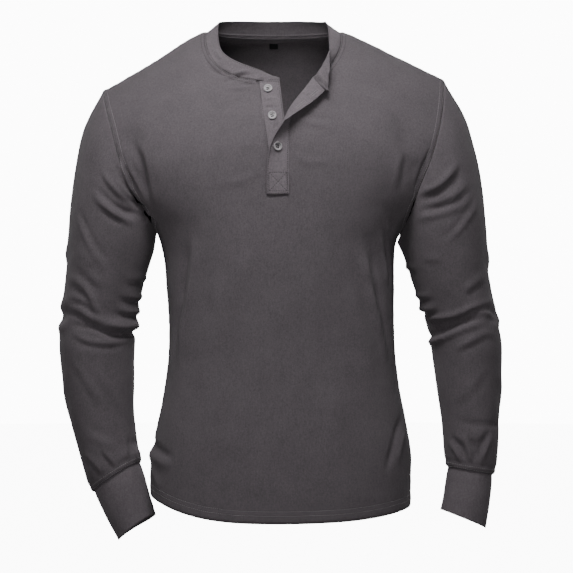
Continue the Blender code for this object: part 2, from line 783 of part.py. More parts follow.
def hole_cutter(name):
    """Four round punches in one guide object."""
    mesh = bmesh.new()
    for x in (-HOLE_REACH, HOLE_REACH):
        for y in (-HOLE_REACH, HOLE_REACH):
            place = Matrix.Translation((x * MM, y * MM, BUTTON_HEIGHT * MM / 2))
            bmesh.ops.create_cone(mesh, cap_ends=True, segments=HOLE_SIDES,
                                  radius1=HOLE_RADIUS * MM, radius2=HOLE_RADIUS * MM,
                                  depth=BUTTON_HEIGHT * MM * 2, matrix=place)
    made = bpy.data.meshes.new(name)
    mesh.to_mesh(made)
    mesh.free()
    cutter = bpy.data.objects.new(name, made)
    bpy.context.collection.objects.link(cutter)
    cutter.hide_render = True
    cutter.display_type = "WIRE"
    return cutter


def on_rows(rows, level, across):
    """Point on the flats between rows of points, at shares of their length and width."""
    up = level * (len(rows) - 1)
    out = across * (len(rows[0]) - 1)
    j = min(int(up), len(rows) - 2)
    i = min(int(out), len(rows[0]) - 2)
    low = mix(rows[j][i], rows[j][i + 1], out - i)
    high = mix(rows[j + 1][i], rows[j + 1][i + 1], out - i)
    return mix(low, high, up - j)


def button_frame(button):
    """Where a button sits on its strip, and which way it faces."""
    rows = under_rows() if button.on == "under" else [row[::-1] for row in overlap_rows()]
    tall, wide = BUTTON_SEAT
    ends = [on_rows(rows, button.level + step, button.across) for step in (-tall, tall)]
    sides = [on_rows(rows, button.level, button.across + step) for step in (-wide, wide)]
    out = (ends[1] - ends[0]).cross(sides[1] - sides[0])
    if out.y > 0:
        out.negate()
    out.normalize()
    here = on_rows(rows, button.level, button.across)
    lift = max((point - here).dot(out) for point in ends + sides)
    return here + out * (max(lift, 0) + BUTTON_CLEAR), out


def build_buttons():
    mesh = button_mesh("button")
    for button in BUTTONS:
        here, out = button_frame(button)
        part = add_object(button.name, mesh.copy(), HORN, 0.35)
        part.location = here * MM
        part.rotation_euler = out.to_track_quat("Z", "Y").to_euler()
        cutter = hole_cutter(button.name + "_holes")
        cutter.location = part.location
        cutter.rotation_euler = part.rotation_euler
        cut = part.modifiers.new("holes", "BOOLEAN")
        cut.object = cutter
        cut.operation = "DIFFERENCE"
        cut.solver = "EXACT"
    bpy.data.meshes.remove(mesh)


def clear_scene():
    for item in list(bpy.data.objects):
        bpy.data.objects.remove(item)


def main():
    clear_scene()
    build_cloth()
    build_tape_and_label()
    build_buttons()


main()
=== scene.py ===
"""Looks of a long-sleeve henley in charcoal jersey, filled out as if worn.

Each cloth piece is a thin shell on the form of its solid: the solid's outer layer is
copied, turned back into quads and subdivided, its creases are pressed in along short
listed paths, and then it gets its wall. Threads, buttons and the stage are
modelled beside it. Metres, +Z up, the chest faces -Y, the wearer's left is at +X.
"""
import math
from collections import namedtuple

import bmesh
import bpy
import numpy as np
from bpy.props import FloatProperty, FloatVectorProperty, PointerProperty
from mathutils import Matrix, Vector, noise
from mathutils.bvhtree import BVHTree
from mathutils.kdtree import KDTree


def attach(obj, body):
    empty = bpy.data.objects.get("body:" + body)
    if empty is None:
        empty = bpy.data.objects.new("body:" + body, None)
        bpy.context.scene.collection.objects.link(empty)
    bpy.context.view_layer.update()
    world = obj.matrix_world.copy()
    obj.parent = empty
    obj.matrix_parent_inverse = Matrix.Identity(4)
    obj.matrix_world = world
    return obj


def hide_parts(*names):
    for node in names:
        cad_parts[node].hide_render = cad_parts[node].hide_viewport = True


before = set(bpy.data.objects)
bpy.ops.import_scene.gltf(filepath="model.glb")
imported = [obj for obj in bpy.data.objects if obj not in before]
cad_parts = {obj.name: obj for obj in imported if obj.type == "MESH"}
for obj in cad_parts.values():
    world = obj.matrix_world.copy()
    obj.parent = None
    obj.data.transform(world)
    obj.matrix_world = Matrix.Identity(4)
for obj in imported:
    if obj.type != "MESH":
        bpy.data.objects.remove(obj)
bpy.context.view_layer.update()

bl_info = {
    "name": "Henley t-shirt",
    "version": (1, 0, 0),
    "blender": (4, 5, 0),
    "location": "3D View > Sidebar > Henley",
    "description": "Cloth shells, creases, stitching, buttons and stage of a long-sleeve henley",
    "category": "Object",
}

MM = 0.001

# ---------------------------------------------------------------- cloth pieces

TORSO = ("front", "back")
SLEEVES = ("sleeve_right", "sleeve_left")
CUFFS = ("cuff_right", "cuff_left")
STRIPS = ("placket_under", "placket_over")
TRIMS = ("neck_tape", "neck_label")
LOOSE = STRIPS + TRIMS        # laid on the others, not butted to them

# layer says which face of the solid shows: the larger one, or the one whose foot faces
# the front. wall is in mm, and levels is how often the shell is divided. flat is the
# piece laid flat in metres and area what it covers, held is how it lies, and on names
# what it hangs from.
Cloth = namedtuple("Cloth", "name layer wall levels flat area slot held on")
CLOTHS = [
    Cloth("front", "larger", 1.5, 3, (0.49, 0.71), 0.288, "jersey", "draped", "back"),
    Cloth("back", "larger", 1.5, 3, (0.52, 0.73), 0.310, "jersey", "draped", "front"),
    Cloth("sleeve_right", "larger", 1.5, 3, (0.40, 0.56), 0.154, "jersey", "draped", "front"),
    Cloth("sleeve_left", "larger", 1.5, 3, (0.39, 0.56), 0.150, "jersey", "draped", "front"),
    Cloth("cuff_right", "larger", 1.5, 4, (0.22, 0.085), 0.016, "band_jersey", "stretched",
          "sleeve_right"),
    Cloth("cuff_left", "larger", 1.5, 4, (0.20, 0.08), 0.014, "band_jersey", "stretched",
          "sleeve_left"),
    Cloth("neckband", "larger", 1.5, 3, (0.55, 0.022), 0.0115, "band_jersey", "stretched", "back"),
    Cloth("placket_under", "facing", 1.5, 4, (0.0295, 0.165), 0.0046, "jersey", "folded", "front"),
    Cloth("placket_over", "facing", 1.5, 4, (0.0295, 0.190), 0.0055, "jersey", "folded", "front"),
    Cloth("neck_tape", "facing", 1.0, 3, (0.19, 0.010), 0.0017, "band_jersey", "laid", "back"),
    Cloth("neck_label", "facing", 1.0, 3, (0.0125, 0.0105), 0.00013, "label", "laid", "back"),
]
CLOTH = {row.name: row for row in CLOTHS}

MERGE = 0.01 * MM             # the solids' corners closer than this are one
WALL_SLACK = 0.02 * MM        # how exactly an edge across a solid's wall keeps its thickness
FOOT = 20 * MM                # how much of a layer's lower end tells which way it faces
SEAM_REACH = 1.2 * MM         # edges of two pieces nearer than this share a seam
CORNER_TURN = math.radians(35)
CLOSING = 0.65                # share of a seam's gap that each side closes
FACES_ALIKE = 0.3             # cosine past which two sewn edges face the same way
HEM_TOP = -0.45               # a free edge below this height is the hem
FAR = 1.0                     # rays that find the cloth start this far out
FAR_EDGE = 0.1                # an edge this far off no longer matters
UNDERLAP = 2.4 * MM           # how far the front's slit goes on under the strips
SEWN_WALL = 2.2 * MM          # a strip's wall where it is sewn down, so that it meets the front
SEWN_REACH = 3.5 * MM         # from the front, within which a strip counts as sewn down
CUFF_LIFT = 9.0 * MM          # how far the cuffs' far edges are drawn up
CUFF_REACH = 45.0 * MM        # over how much of the cuff

# ---------------------------------------------------------------- stitched lines

# Rows of topstitching: on which pieces, beside which seam, how far in (mm), how wide a
# groove they pull in the cloth and darken as painted shade (mm), and with which thread. "any"
# is every open edge of a piece. No piece is in more than three of these rows, since its "ways" are
# a vector.
Row = namedtuple("Row", "pieces beside offsets groove thread")
ROWS = [
    Row(TORSO, "hem", (11, 17), 1.4, "charcoal thread"),
    Row(TORSO, "sleeve", (1.6, 7.2), 1.2, "charcoal thread"),
    Row(SLEEVES, "cuff", (2.0, 6.0), 1.2, "charcoal thread"),
    Row(TORSO, "neckband", (1.8, 6.0), 1.2, "dark thread"),
    Row(("neckband", "placket_over", "placket_under"), "any", (1.6,), 1.0, "dark thread"),
]
SHADED_THREAD = 0.10            # share of the thread's colour that the near-black thread keeps: real thread, its darkness painted shade along the placket's and band's edges and in the buttons' holes
SHORTEST_RUN = 7              # points that a stretch of edge needs to be sewn
ROW_EVENING = 3               # times that a row's line is evened out

# Threads sewn along drawn lines on the placket: a box with a cross in it, and the
# slits of the buttonholes. Across and up in millimetres from the neck.
BOX_CORNERS = (-4.5, -203.5), (19.5, -203.5), (-4.5, -228.5), (19.5, -228.5)
BOX_LINES = [[BOX_CORNERS[first], BOX_CORNERS[second]]
             for first, second in ((0, 1), (2, 3), (0, 2), (1, 3), (0, 3), (1, 2))]
HOLE_LINES = [
    [(51.4, -100.2), (60.6, -91.8)],
    [(33.4, -116.2), (42.6, -107.8)],
]
HOLE_SIDE = 1.3               # mm from a slit to the stitches that bind it
HOLE_PITCH = 1.0 * MM         # between those stitches
DRAWN_WIDTH = 0.9             # mm, half a groove under a drawn line
GROOVE_STEP, BOX_STEP, HOLE_STEP = 0.8 * MM, 2 * MM, 0.6 * MM    # how finely they are followed

# A stitch: shares of its length and thickness
BEAD_LENGTH = 0.6             # the full part between its pinched ends
PINCH = 0.35                  # an end's width
SINK = 0.45                   # how far an end dips into the cloth
RISE = 0.18                   # how far the thread's middle stands out
AIM_SHARE = 0.3               # of the pitch, before and after a stitch, tells its direction
STRAIGHT = 0.9                # cosine past which a face looks along an axis

# ---------------------------------------------------------------- relief of the cloth

# Soft unevenness all over: how high, and how long its waves are, in millimetres
Wave = namedtuple("Wave", "height length seed")
WAVES = [Wave(1.5, 95, 3.1), Wave(0.7, 38, 7.7), Wave(0.22, 15, 12.9)]
# What share of it a piece keeps, where that is not all
CALM = {"neck_tape": 0.0, "neck_label": 0.0, "placket_under": 0.6, "placket_over": 0.6}
PUCKER = 0.5                  # mm, how much a stitched edge ripples
PUCKER_REACH = 14 * MM
PUCKER_SCALE = 130            # how fine the ripples are
PUCKER_LEAST = 0.02           # share below which they are left out

# Rolls beside seams: how high the cloth stands (mm), how far in from the seam, how wide
Roll = namedtuple("Roll", "pieces beside height place width")
ROLLS = [
    Roll(TORSO, "sleeve", -0.4, 0, 1.9),
    Roll(TORSO, "sleeve", 0.5, 4.4, 2.6),
    Roll(SLEEVES, "front", -0.4, 0, 1.9),
    Roll(SLEEVES, "back", -0.4, 0, 1.9),
    Roll(TORSO, "neckband", -1.0, 0, 1.8),
    Roll(("neckband",), "front", -1.0, 0, 1.8),
    Roll(("neckband",), "back", -1.0, 0, 1.8),
    Roll(SLEEVES, "cuff", 0.9, 3.4, 3.2),
    Roll(SLEEVES, "cuff", -0.5, 9.6, 2.2),
    Roll(CUFFS, "sleeve", -0.8, 2.6, 3.6),
    Roll(CUFFS, "sleeve", -0.4, 6, 14.0),
    Roll(TORSO, "hem", 0.35, 9, 5.0),
    Roll(TORSO, "hem", -0.35, 17, 2.5),
]

# Creases, grouped by the side they are drawn from: 0 is the front, 90 the wearer's left,
# 180 the back. Each has its depth, which lifts (+) or sinks (-) the cloth, its width,
# which is half the crease, a lean, which adds a trough on the right (+) or left (-) of the
# path's way, and its path across and up. All in millimetres from the neck.
DRAWN = [(0, [
    # the body's right flank: one long soft fold, with a fainter one inside it
    (4.4, 9, 0.9, [(-100, -280), (-108, -330), (-118, -381), (-126, -428), (-129, -480)]),
    (-2.4, 7, 0, [(-114, -276), (-122, -350), (-125, -420)]),
    (2.0, 11, 0.5, [(-84, -310), (-72, -390), (-89, -456), (-102, -500)]),
    (1.8, 13, 0, [(-60, -470), (-82, -540), (-96, -610)]),
    (1.6, 12, 0.4, [(-30, -300), (-48, -350), (-50, -410)]),
    # the left flank: two folds from under the arm, closer and sharper
    (5.0, 8, -0.9, [(114, -275), (128, -334), (137, -381), (151, -437), (157, -470)]),
    (3.6, 5, -0.8, [(144, -276), (151, -312), (158, -360)]),
    (2.2, 4, -0.7, [(154, -262), (158, -286), (160, -314)]),
    (2.0, 10, -0.5, [(98, -340), (120, -410), (141, -480)]),
    (1.6, 13, 0, [(70, -470), (88, -540), (92, -610)]),
    (1.4, 12, -0.4, [(44, -330), (58, -390), (54, -440)]),
    # hollows where the chest goes into the arms
    (-5.0, 15, 0, [(-204, -128), (-188, -170), (-176, -214), (-166, -244)]),
    (2.6, 6.5, 1.7, [(-192, -150), (-175, -176), (-169, -208), (-163, -233), (-155, -254)]),
    (-5.0, 7, 0, [(-186, -250), (-170, -262), (-152, -276)]),
    (-5.4, 16, 0, [(162, -108), (182, -160), (196, -210), (198, -236)]),
    (1.8, 6, -0.9, [(176, -168), (170, -196), (164, -230)]),
    (-4.6, 3.4, 0.0, [(218, -160), (210, -184), (203, -206), (192, -234)]),
    # fans from the right underarm into the sleeve
    (3.8, 4, 0.6, [(-233, -194), (-227, -208), (-216, -222), (-203, -235), (-191, -240)]),
    (3.2, 3.6, 0, [(-216, -206), (-206, -222), (-194, -233), (-179, -245)]),
    (4.0, 4, -0.7, [(-217, -170), (-205, -196), (-193, -220), (-180, -243)]),
    (2.8, 3.6, -0.6, [(-204, -174), (-196, -196), (-187, -215), (-177, -237)]),
    (-5.5, 4.6, 0, [(-198, -228), (-186, -241), (-174, -251), (-160, -262)]),
    (4.4, 5, -0.8, [(-250, -222), (-230, -244), (-210, -259), (-184, -272)]),
    (-2.8, 4, 0, [(-238, -246), (-220, -262), (-198, -274)]),
    (-3.0, 4, 0, [(-224, -240), (-204, -251), (-178, -259)]),
    (3.0, 4, -0.6, [(-274, -248), (-262, -275), (-247, -305), (-222, -337)]),
    (1.8, 8, 0.4, [(-275, -300), (-254, -320), (-236, -330)]),
    # fans from the left underarm, deeper
    (5.2, 5, 1.0, [(194, -230), (220, -222), (240, -206), (258, -184)]),
    (3.2, 4.4, 0.9, [(193, -248), (224, -242), (248, -232), (276, -208)]),
    (1.8, 5.4, 0.6, [(188, -266), (216, -259), (247, -250), (279, -236)]),
    (-3.2, 12, 0, [(192, -240), (218, -244), (250, -240)]),
    (3.0, 3.6, 0.6, [(286, -231), (272, -253), (254, -278), (232, -300)]),
    (1.6, 4, 0.4, [(204, -318), (218, -319), (234, -316)]),
    # the right elbow: a deep fold under three smaller ones
    (2.4, 5, 0.7, [(-281, -315), (-262, -331), (-242, -348), (-222, -356)]),
    (3.8, 4.6, 0.9, [(-288, -344), (-264, -354), (-249, -371), (-235, -394)]),
    (4.0, 4.6, 0.9, [(-288, -370), (-264, -373), (-249, -382), (-232, -398)]),
    (5.0, 7, 0, [(-298, -376), (-268, -384), (-248, -397), (-226, -407), (-204, -408),
                 (-160, -403)]),
    (-5.6, 3.4, 0, [(-304, -388), (-268, -397), (-246, -411), (-224, -422), (-203, -423),
                    (-150, -417)]),
    (-2.6, 4, 0, [(-280, -407), (-261, -411), (-245, -415)]),
    (2.4, 4, 0.6, [(-282, -418), (-256, -430), (-226, -434), (-192, -430)]),
]), (20, [
    (2.6, 4, 0.7, [(-210, -342), (-190, -346), (-150, -345)]),
    (3.2, 4, 0.8, [(-216, -364), (-194, -371), (-140, -372)]),
    (3.4, 4.4, 0.8, [(-222, -382), (-196, -391), (-136, -391)]),
    (4.2, 5, 0.9, [(-236, -406), (-208, -413), (-184, -413), (-126, -409)]),
]), (0, [
    # the left elbow: a deep trough between two ridges, and a short arc in it
    (5.0, 4.2, 1.0, [(200, -402), (236, -399), (256, -394), (277, -384), (312, -374)]),
    (-5.0, 6.5, 0, [(204, -418), (236, -412), (258, -405), (284, -396)]),
    (3.4, 3.6, 0, [(272, -388), (290, -391), (304, -396), (318, -406)]),
    (5.0, 4.2, -1.0, [(200, -436), (236, -425), (252, -417), (270, -410), (298, -403)]),
    (3.0, 5, 0.7, [(258, -366), (277, -352), (297, -340)]),
    (2.6, 5, 0.5, [(244, -446), (270, -432), (294, -421), (316, -427)]),
]), (-20, [
    (2.2, 4, -0.7, [(204, -330), (182, -330), (142, -326)]),
    (2.8, 4, -0.7, [(222, -366), (200, -370), (156, -366)]),
    (3.6, 4.4, -0.9, [(230, -384), (204, -388), (150, -386)]),
    (3.4, 4.4, 0.9, [(238, -424), (210, -432), (150, -436)]),
]), (0, [
    # forearms
    (1.3, 6, 0.5, [(-278, -452), (-252, -492), (-226, -530)]),
    (1.1, 7, 0.4, [(-246, -462), (-222, -500), (-196, -548)]),
    (2.0, 6, -0.6, [(-262, -560), (-240, -566), (-214, -580)]),
    (1.3, 6, -0.5, [(296, -462), (272, -496), (244, -524)]),
    (-3.6, 3.2, 0, [(250, -541), (276, -546), (300, -546), (340, -546)]),
    (1.8, 6, 0.5, [(244, -560), (268, -566), (300, -554)]),
    # puckers above the cuffs
    (2.8, 5, 0.9, [(-264, -586), (-246, -600), (-232, -616)]),
    (2.4, 4, 0.8, [(-238, -578), (-224, -592), (-212, -608)]),
    (2.0, 4, -0.7, [(-206, -560), (-202, -576), (-204, -594)]),
    (3.2, 4.6, -0.9, [(242, -568), (254, -584), (262, -602)]),
    (3.0, 4, -0.8, [(260, -562), (270, -580), (272, -602)]),
    (3.2, 4.6, 0.9, [(306, -556), (294, -578), (284, -604)]),
    # the hem's corners
    (-3.4, 6, 0, [(-172, -572), (-160, -580), (-146, -586), (-132, -588)]),
    (3.0, 7, 0, [(-168, -596), (-160, -618), (-152, -640)]),
    (4.6, 8, 0, [(-128, -602), (-150, -594), (-170, -589), (-220, -590)]),
    (-3.6, 3.6, 0, [(-132, -592), (-150, -582), (-168, -573), (-220, -572)]),
    (-4.2, 4.6, 0, [(182, -526), (170, -552), (162, -580), (152, -614)]),
    (2.8, 4.6, 0, [(184, -548), (176, -570), (168, -604)]),
    # drag lines beside the placket, and small wrinkles of the band and the under strip
    (1.4, 5, 0, [(26, -120), (52, -136), (92, -140)]),
    (1.2, 5, 0, [(24, -176), (50, -190), (84, -186)]),
    (1.2, 6, 0, [(-12, -196), (-40, -214), (-76, -216)]),
    (2.6, 3, 0.9, [(-72, -78), (-56, -70), (-40, -64), (-26, -66)]),
    (2.2, 3, 0.8, [(-90, -30), (-82, -52), (-70, -62), (-56, -58)]),
    (2.0, 2.6, 0.8, [(-46, -80), (-26, -77), (-6, -71)]),
    (1.2, 3, 0.6, [(-70, -86), (-44, -88), (-20, -82)]),
    (-1.2, 2.4, 0, [(-13, -114), (-4, -115), (5, -114)]),
    (-1.4, 2.6, 0, [(0, -143), (6, -141), (12, -138)]),
    (1.0, 2.6, 0, [(-12, -104), (-2, -102), (4, -105)]),
    # the folded-out end of the band: the seam under it, and folds beside the seam
    (1.3, 1.8, -0.8, [(56, -77), (64, -87), (75, -97)]),
    (1.6, 2.6, 0.9, [(62, -66), (68, -77), (76, -88)]),
    (-1.8, 2.6, 0, [(70, -58), (73, -67), (76, -78)]),
    (1.2, 3.0, 0.6, [(44, -92), (52, -101), (60, -106)]),
    (1.6, 2.6, 0.8, [(-80, -28), (-76, -38), (-68, -46)]),
]), (180, [
    # the back: folds from the shoulder blades, the small of the back and the underarms
    (3.8, 9, 0.8, [(-150, -210), (-118, -262), (-98, -330), (-92, -390)]),
    (4.0, 9, -0.9, [(156, -204), (128, -258), (104, -320), (96, -396)]),
    (2.8, 10, 0.7, [(-92, -366), (-62, -404), (-18, -416)]),
    (3.2, 9, -0.8, [(84, -398), (46, -452), (-10, -478)]),
    (2.4, 9, 0.6, [(-104, -440), (-60, -490), (-8, -512)]),
    (1.8, 14, 0, [(96, -500), (70, -560), (66, -620)]),
    (1.8, 13, 0, [(-78, -510), (-94, -566), (-92, -624)]),
    (1.6, 12, 0.4, [(-60, -70), (-30, -120), (-22, -180)]),
    (1.5, 12, -0.4, [(70, -76), (42, -130), (40, -190)]),
    # the backs of the sleeves
    (4.2, 5.5, 0.9, [(-196, -236), (-226, -226), (-262, -196)]),
    (2.8, 5, 0.7, [(-192, -256), (-222, -252), (-262, -236)]),
    (4.0, 5.5, -0.9, [(178, -248), (212, -232), (250, -200)]),
    (2.6, 5, -0.7, [(176, -270), (206, -258), (246, -240)]),
    (3.2, 6, 0.8, [(-210, -286), (-244, -270), (-280, -262)]),
    (3.0, 6, -0.8, [(196, -290), (232, -276), (268, -262)]),
    (2.9, 6, 0.8, [(-222, -420), (-256, -408), (-300, -400)]),
    (2.0, 9, 0.4, [(-230, -470), (-262, -490), (-290, -500)]),
    (2.8, 6, -0.8, [(196, -410), (236, -398), (282, -392)]),
    (1.8, 9, -0.4, [(206, -470), (240, -500), (262, -530)]),
]), (90, [
    # the sides, where body and sleeves face away from each other
    (2.8, 9, 0.7, [(-30, -372), (0, -392), (34, -396)]),
    (3.4, 8, -0.8, [(-34, -414), (0, -404), (36, -410)]),
    (2.2, 9, 0.5, [(-26, -300), (4, -322), (34, -322)]),
    (1.8, 10, 0.4, [(-20, -470), (6, -500), (26, -540)]),
]), (-90, [
    (2.8, 9, -0.7, [(34, -372), (0, -384), (-36, -392)]),
    (3.0, 8, 0.8, [(36, -404), (4, -412), (-34, -400)]),
    (2.0, 9, -0.5, [(30, -296), (-4, -312), (-34, -316)]),
    (1.8, 10, -0.4, [(22, -470), (-4, -510), (-22, -552)]),
]), (0, [
    # the crossed box pulls the strip in along its stitches
    (-0.6, 1.8, 0, line) for line in BOX_LINES
])]
Crease = namedtuple("Crease", "azimuth depth width lean path")
CREASES = [Crease(azimuth, *row) for azimuth, rows in DRAWN for row in rows]
SAMPLE_STEP = 3 * MM
JUMP = 30 * MM                # between samples, past which a path turns the outline
TAPER = 0.35                  # share of a crease's length over which each end dies away
UNEVEN, UNEVEN_SCALE = 0.35, 34    # how much a crease's height varies on its way
CREASE_REACH = 4              # widths past which a crease is no longer felt
LEAN_PLACE, LEAN_WIDTH = 1.55, 1.1    # the trough beside a leaning crease, in widths
EDGE_ON, EDGE_FADE = 0.1, 0.4    # cosines: cloth seen edge on takes no crease


# ---------------------------------------------------------------- sizes and colours

class ClothSizes(bpy.types.PropertyGroup):
    wall: FloatProperty(
        name="Wall", description="Thickness of the cloth", default=1.0 * MM,
        min=0.2 * MM, max=1.4 * MM, unit="LENGTH")
    crease: FloatProperty(
        name="Creases", description="Share of the creases' drawn depth", default=1.0,
        min=0.0, max=2.0, subtype="FACTOR")
    charcoal: FloatVectorProperty(
        name="Charcoal", description="Colour of the jersey",
        default=(0.101, 0.088, 0.097), size=3, min=0.0, max=1.0, subtype="COLOR")
    label: FloatVectorProperty(
        name="Label", description="Colour of the blank label",
        default=(0.006, 0.006, 0.007), size=3, min=0.0, max=1.0, subtype="COLOR")


class StitchSizes(bpy.types.PropertyGroup):
    pitch: FloatProperty(
        name="Pitch", description="From one stitch to the next", default=3.0 * MM,
        min=1.0 * MM, unit="LENGTH")
    length: FloatProperty(
        name="Length", description="Length of a stitch that shows", default=2.3 * MM,
        min=0.5 * MM, unit="LENGTH")
    thread: FloatProperty(
        name="Thread", description="Thickness of the thread", default=0.5 * MM,
        min=0.1 * MM, unit="LENGTH")
    colour: FloatVectorProperty(
        name="Thread colour", description="Colour of the sewing thread",
        default=(0.255, 0.238, 0.248), size=3, min=0.0, max=1.0, subtype="COLOR")


class ButtonSizes(bpy.types.PropertyGroup):
    width: FloatProperty(
        name="Width", description="Across a button", default=11.6 * MM, unit="LENGTH")
    thickness: FloatProperty(
        name="Thickness", description="Through a button's rim", default=2.4 * MM, unit="LENGTH")
    hole: FloatProperty(
        name="Hole", description="Across one of the four holes", default=2.2 * MM, unit="LENGTH")
    spread: FloatProperty(
        name="Spread", description="From the middle to a hole", default=1.9 * MM, unit="LENGTH")
    colour: FloatVectorProperty(
        name="Button colour", description="Colour of the buttons",
        default=(0.300, 0.285, 0.295), size=3, min=0.0, max=1.0, subtype="COLOR")


class StageSizes(bpy.types.PropertyGroup):
    distance: FloatProperty(
        name="Distance", description="From the neck to the camera", default=2.8, unit="LENGTH")
    view: FloatProperty(
        name="View", description="How much the picture takes in", default=0.799, unit="LENGTH")
    key: FloatProperty(
        name="Key light", description="Power of the soft light above the chest",
        default=4.85, unit="POWER")
    fill: FloatProperty(
        name="Fill light", description="Strength of the light all round", default=0.02)
    ground: FloatProperty(
        name="Ground", description="Brightness of the background", default=12.0)


# ---------------------------------------------------------------- materials

class Wire:
    """A node's output; sums and products of wires and numbers become Math nodes."""

    def __init__(self, socket):
        self.socket = socket

    @staticmethod
    def make(tree, kind, settings, values, output=0):
        """Add a node: first its settings, then its sockets' values or links."""
        node = tree.nodes.new(kind)
        for key, value in settings.items():
            setattr(node, key, value)
        for key, value in values.items():
            if isinstance(value, Wire):
                tree.links.new(value.socket, node.inputs[key])
            else:
                node.inputs[key].default_value = value
        return Wire(node.outputs[output])

    def into(self, shader, name):
        """Link to one of a shader's sockets."""
        self.socket.node.id_data.links.new(self.socket, shader.inputs[name])

    def math(self, operation, first, second=0.0):
        tree = self.socket.node.id_data
        return Wire.make(tree, "ShaderNodeMath", {"operation": operation}, {0: first, 1: second})

    def __add__(self, other):
        return self.math("ADD", self, other)

    __radd__ = __add__

    def __sub__(self, other):
        return self.math("SUBTRACT", self, other)

    def __rsub__(self, other):
        return self.math("SUBTRACT", other, self)

    def __mul__(self, other):
        return self.math("MULTIPLY", self, other)

    __rmul__ = __mul__

    def __truediv__(self, other):
        return self.math("DIVIDE", self, other)

    def __abs__(self):
        return self.math("ABSOLUTE", self)

    def at_least(self, other):
        return self.math("MAXIMUM", self, other)

    def at_most(self, other):
        return self.math("MINIMUM", self, other)


def new_finish(name, constants):
    """A material with one Principled shader, its constants set on its own sockets."""
    finish = bpy.data.materials.new(name)
    finish.use_nodes = True
    shader = finish.node_tree.nodes["Principled BSDF"]
    for socket, value in constants.items():
        shader.inputs[socket].default_value = value
    return finish, finish.node_tree, shader


def colour_mix(tree, factor, first, second, blend="MIX"):
    settings = {"data_type": "RGBA", "blend_type": blend}
    return Wire.make(tree, "ShaderNodeMix", settings, {0: factor, 6: first, 7: second}, output=2)


def object_place(tree, turn=(0, 0, 0), scale=(1, 1, 1)):
    """Object coordinates, turned and stretched so that a pattern runs with the cloth."""
    coords = Wire.make(tree, "ShaderNodeTexCoord", {}, {}, output=3)
    values = {"Vector": coords, "Rotation": turn, "Scale": tuple(1 / share for share in scale)}
    return Wire.make(tree, "ShaderNodeMapping", {"vector_type": "TEXTURE"}, values)


def noise_at(tree, place, scale, detail=2.0, roughness=0.5):
    values = {"Vector": place, "Scale": scale, "Detail": detail, "Roughness": roughness}
    return Wire.make(tree, "ShaderNodeTexNoise", {}, values)


def part_of(tree, vector, axis):
    return Wire.make(tree, "ShaderNodeSeparateXYZ", {}, {0: vector}, output=axis)


def bump(tree, strength, distance, height):
    values = {"Strength": strength, "Distance": distance, "Height": height}
    return Wire.make(tree, "ShaderNodeBump", {}, values)


def shade(colour, share):
    """A darker or lighter version of a colour, for a shader's socket."""
    return tuple(channel * share for channel in colour[:3]) + (1.0,)


def mottle(shader, factor, colour, dark, light):
    """A base colour that goes from its dark share to its light one."""
    tree = shader.id_data
    colour_mix(tree, factor, shade(colour, dark), shade(colour, light)).into(shader, "Base Color")


def groove_at(way, width):
    near = (1 - way / width).at_least(0.0)
    return near * near


def seam_lines(tree, rows):
    """A groove for each row of stitches, from how far the cloth is from its edges (mm)."""
    ways = Wire.make(tree, "ShaderNodeAttribute", {"attribute_name": "ways"}, {}, output=1)
    total = None
    for axis, offset, width in rows:
        groove = groove_at(abs(part_of(tree, ways, axis) - offset), width)
        total = groove if total is None else total.at_least(groove)
    return total


def drawn_lines(tree):
    """Grooves along the placket's drawn stitch lines."""
    way = Wire.make(tree, "ShaderNodeAttribute", {"attribute_name": "drawn"}, {}, output=2)
    return groove_at(way, DRAWN_WIDTH)


JERSEY = {"Roughness": 0.92, "Specular IOR Level": 0.25, "Sheen Weight": 0.06,
          "Sheen Roughness": 0.6}
# What the heather is mixed of: whether it is drawn out along the piece, how fine it is,
# its detail, and its share of the mix. The fibres come first.
Speck = namedtuple("Speck", "drawn_out scale detail share")
HEATHER = [Speck(False, 1150, 2.0, 0.9), Speck(True, 620, 2.0, 0.7),
           Speck(False, 480, 2.0, 1.2), Speck(False, 34, 4.0, 0.6)]
HEATHER_DARK, HEATHER_LIGHT = 0.74, 1.26    # shares of the jersey's colour
FUZZ = 0.6                    # roughness of the jersey's noises
STREAK_STRETCH, RIB_STRETCH, RIB_SCALE = 0.22, 0.12, 900
RIB_RELIEF, FIBRE_RELIEF, GROOVE_RELIEF = 0.35, 0.25, 1.6    # shares of the bump
GROOVE_SHADE, GROOVE_SHADE_SHARE = 0.45, 0.16    # painted shade in a groove: its darker share of the colour, and how much of it shows
BACK_SHADE_START, BACK_SHADE_END = -50 * MM, 10 * MM    # painted shade: where the band's inner face starts to darken towards the back
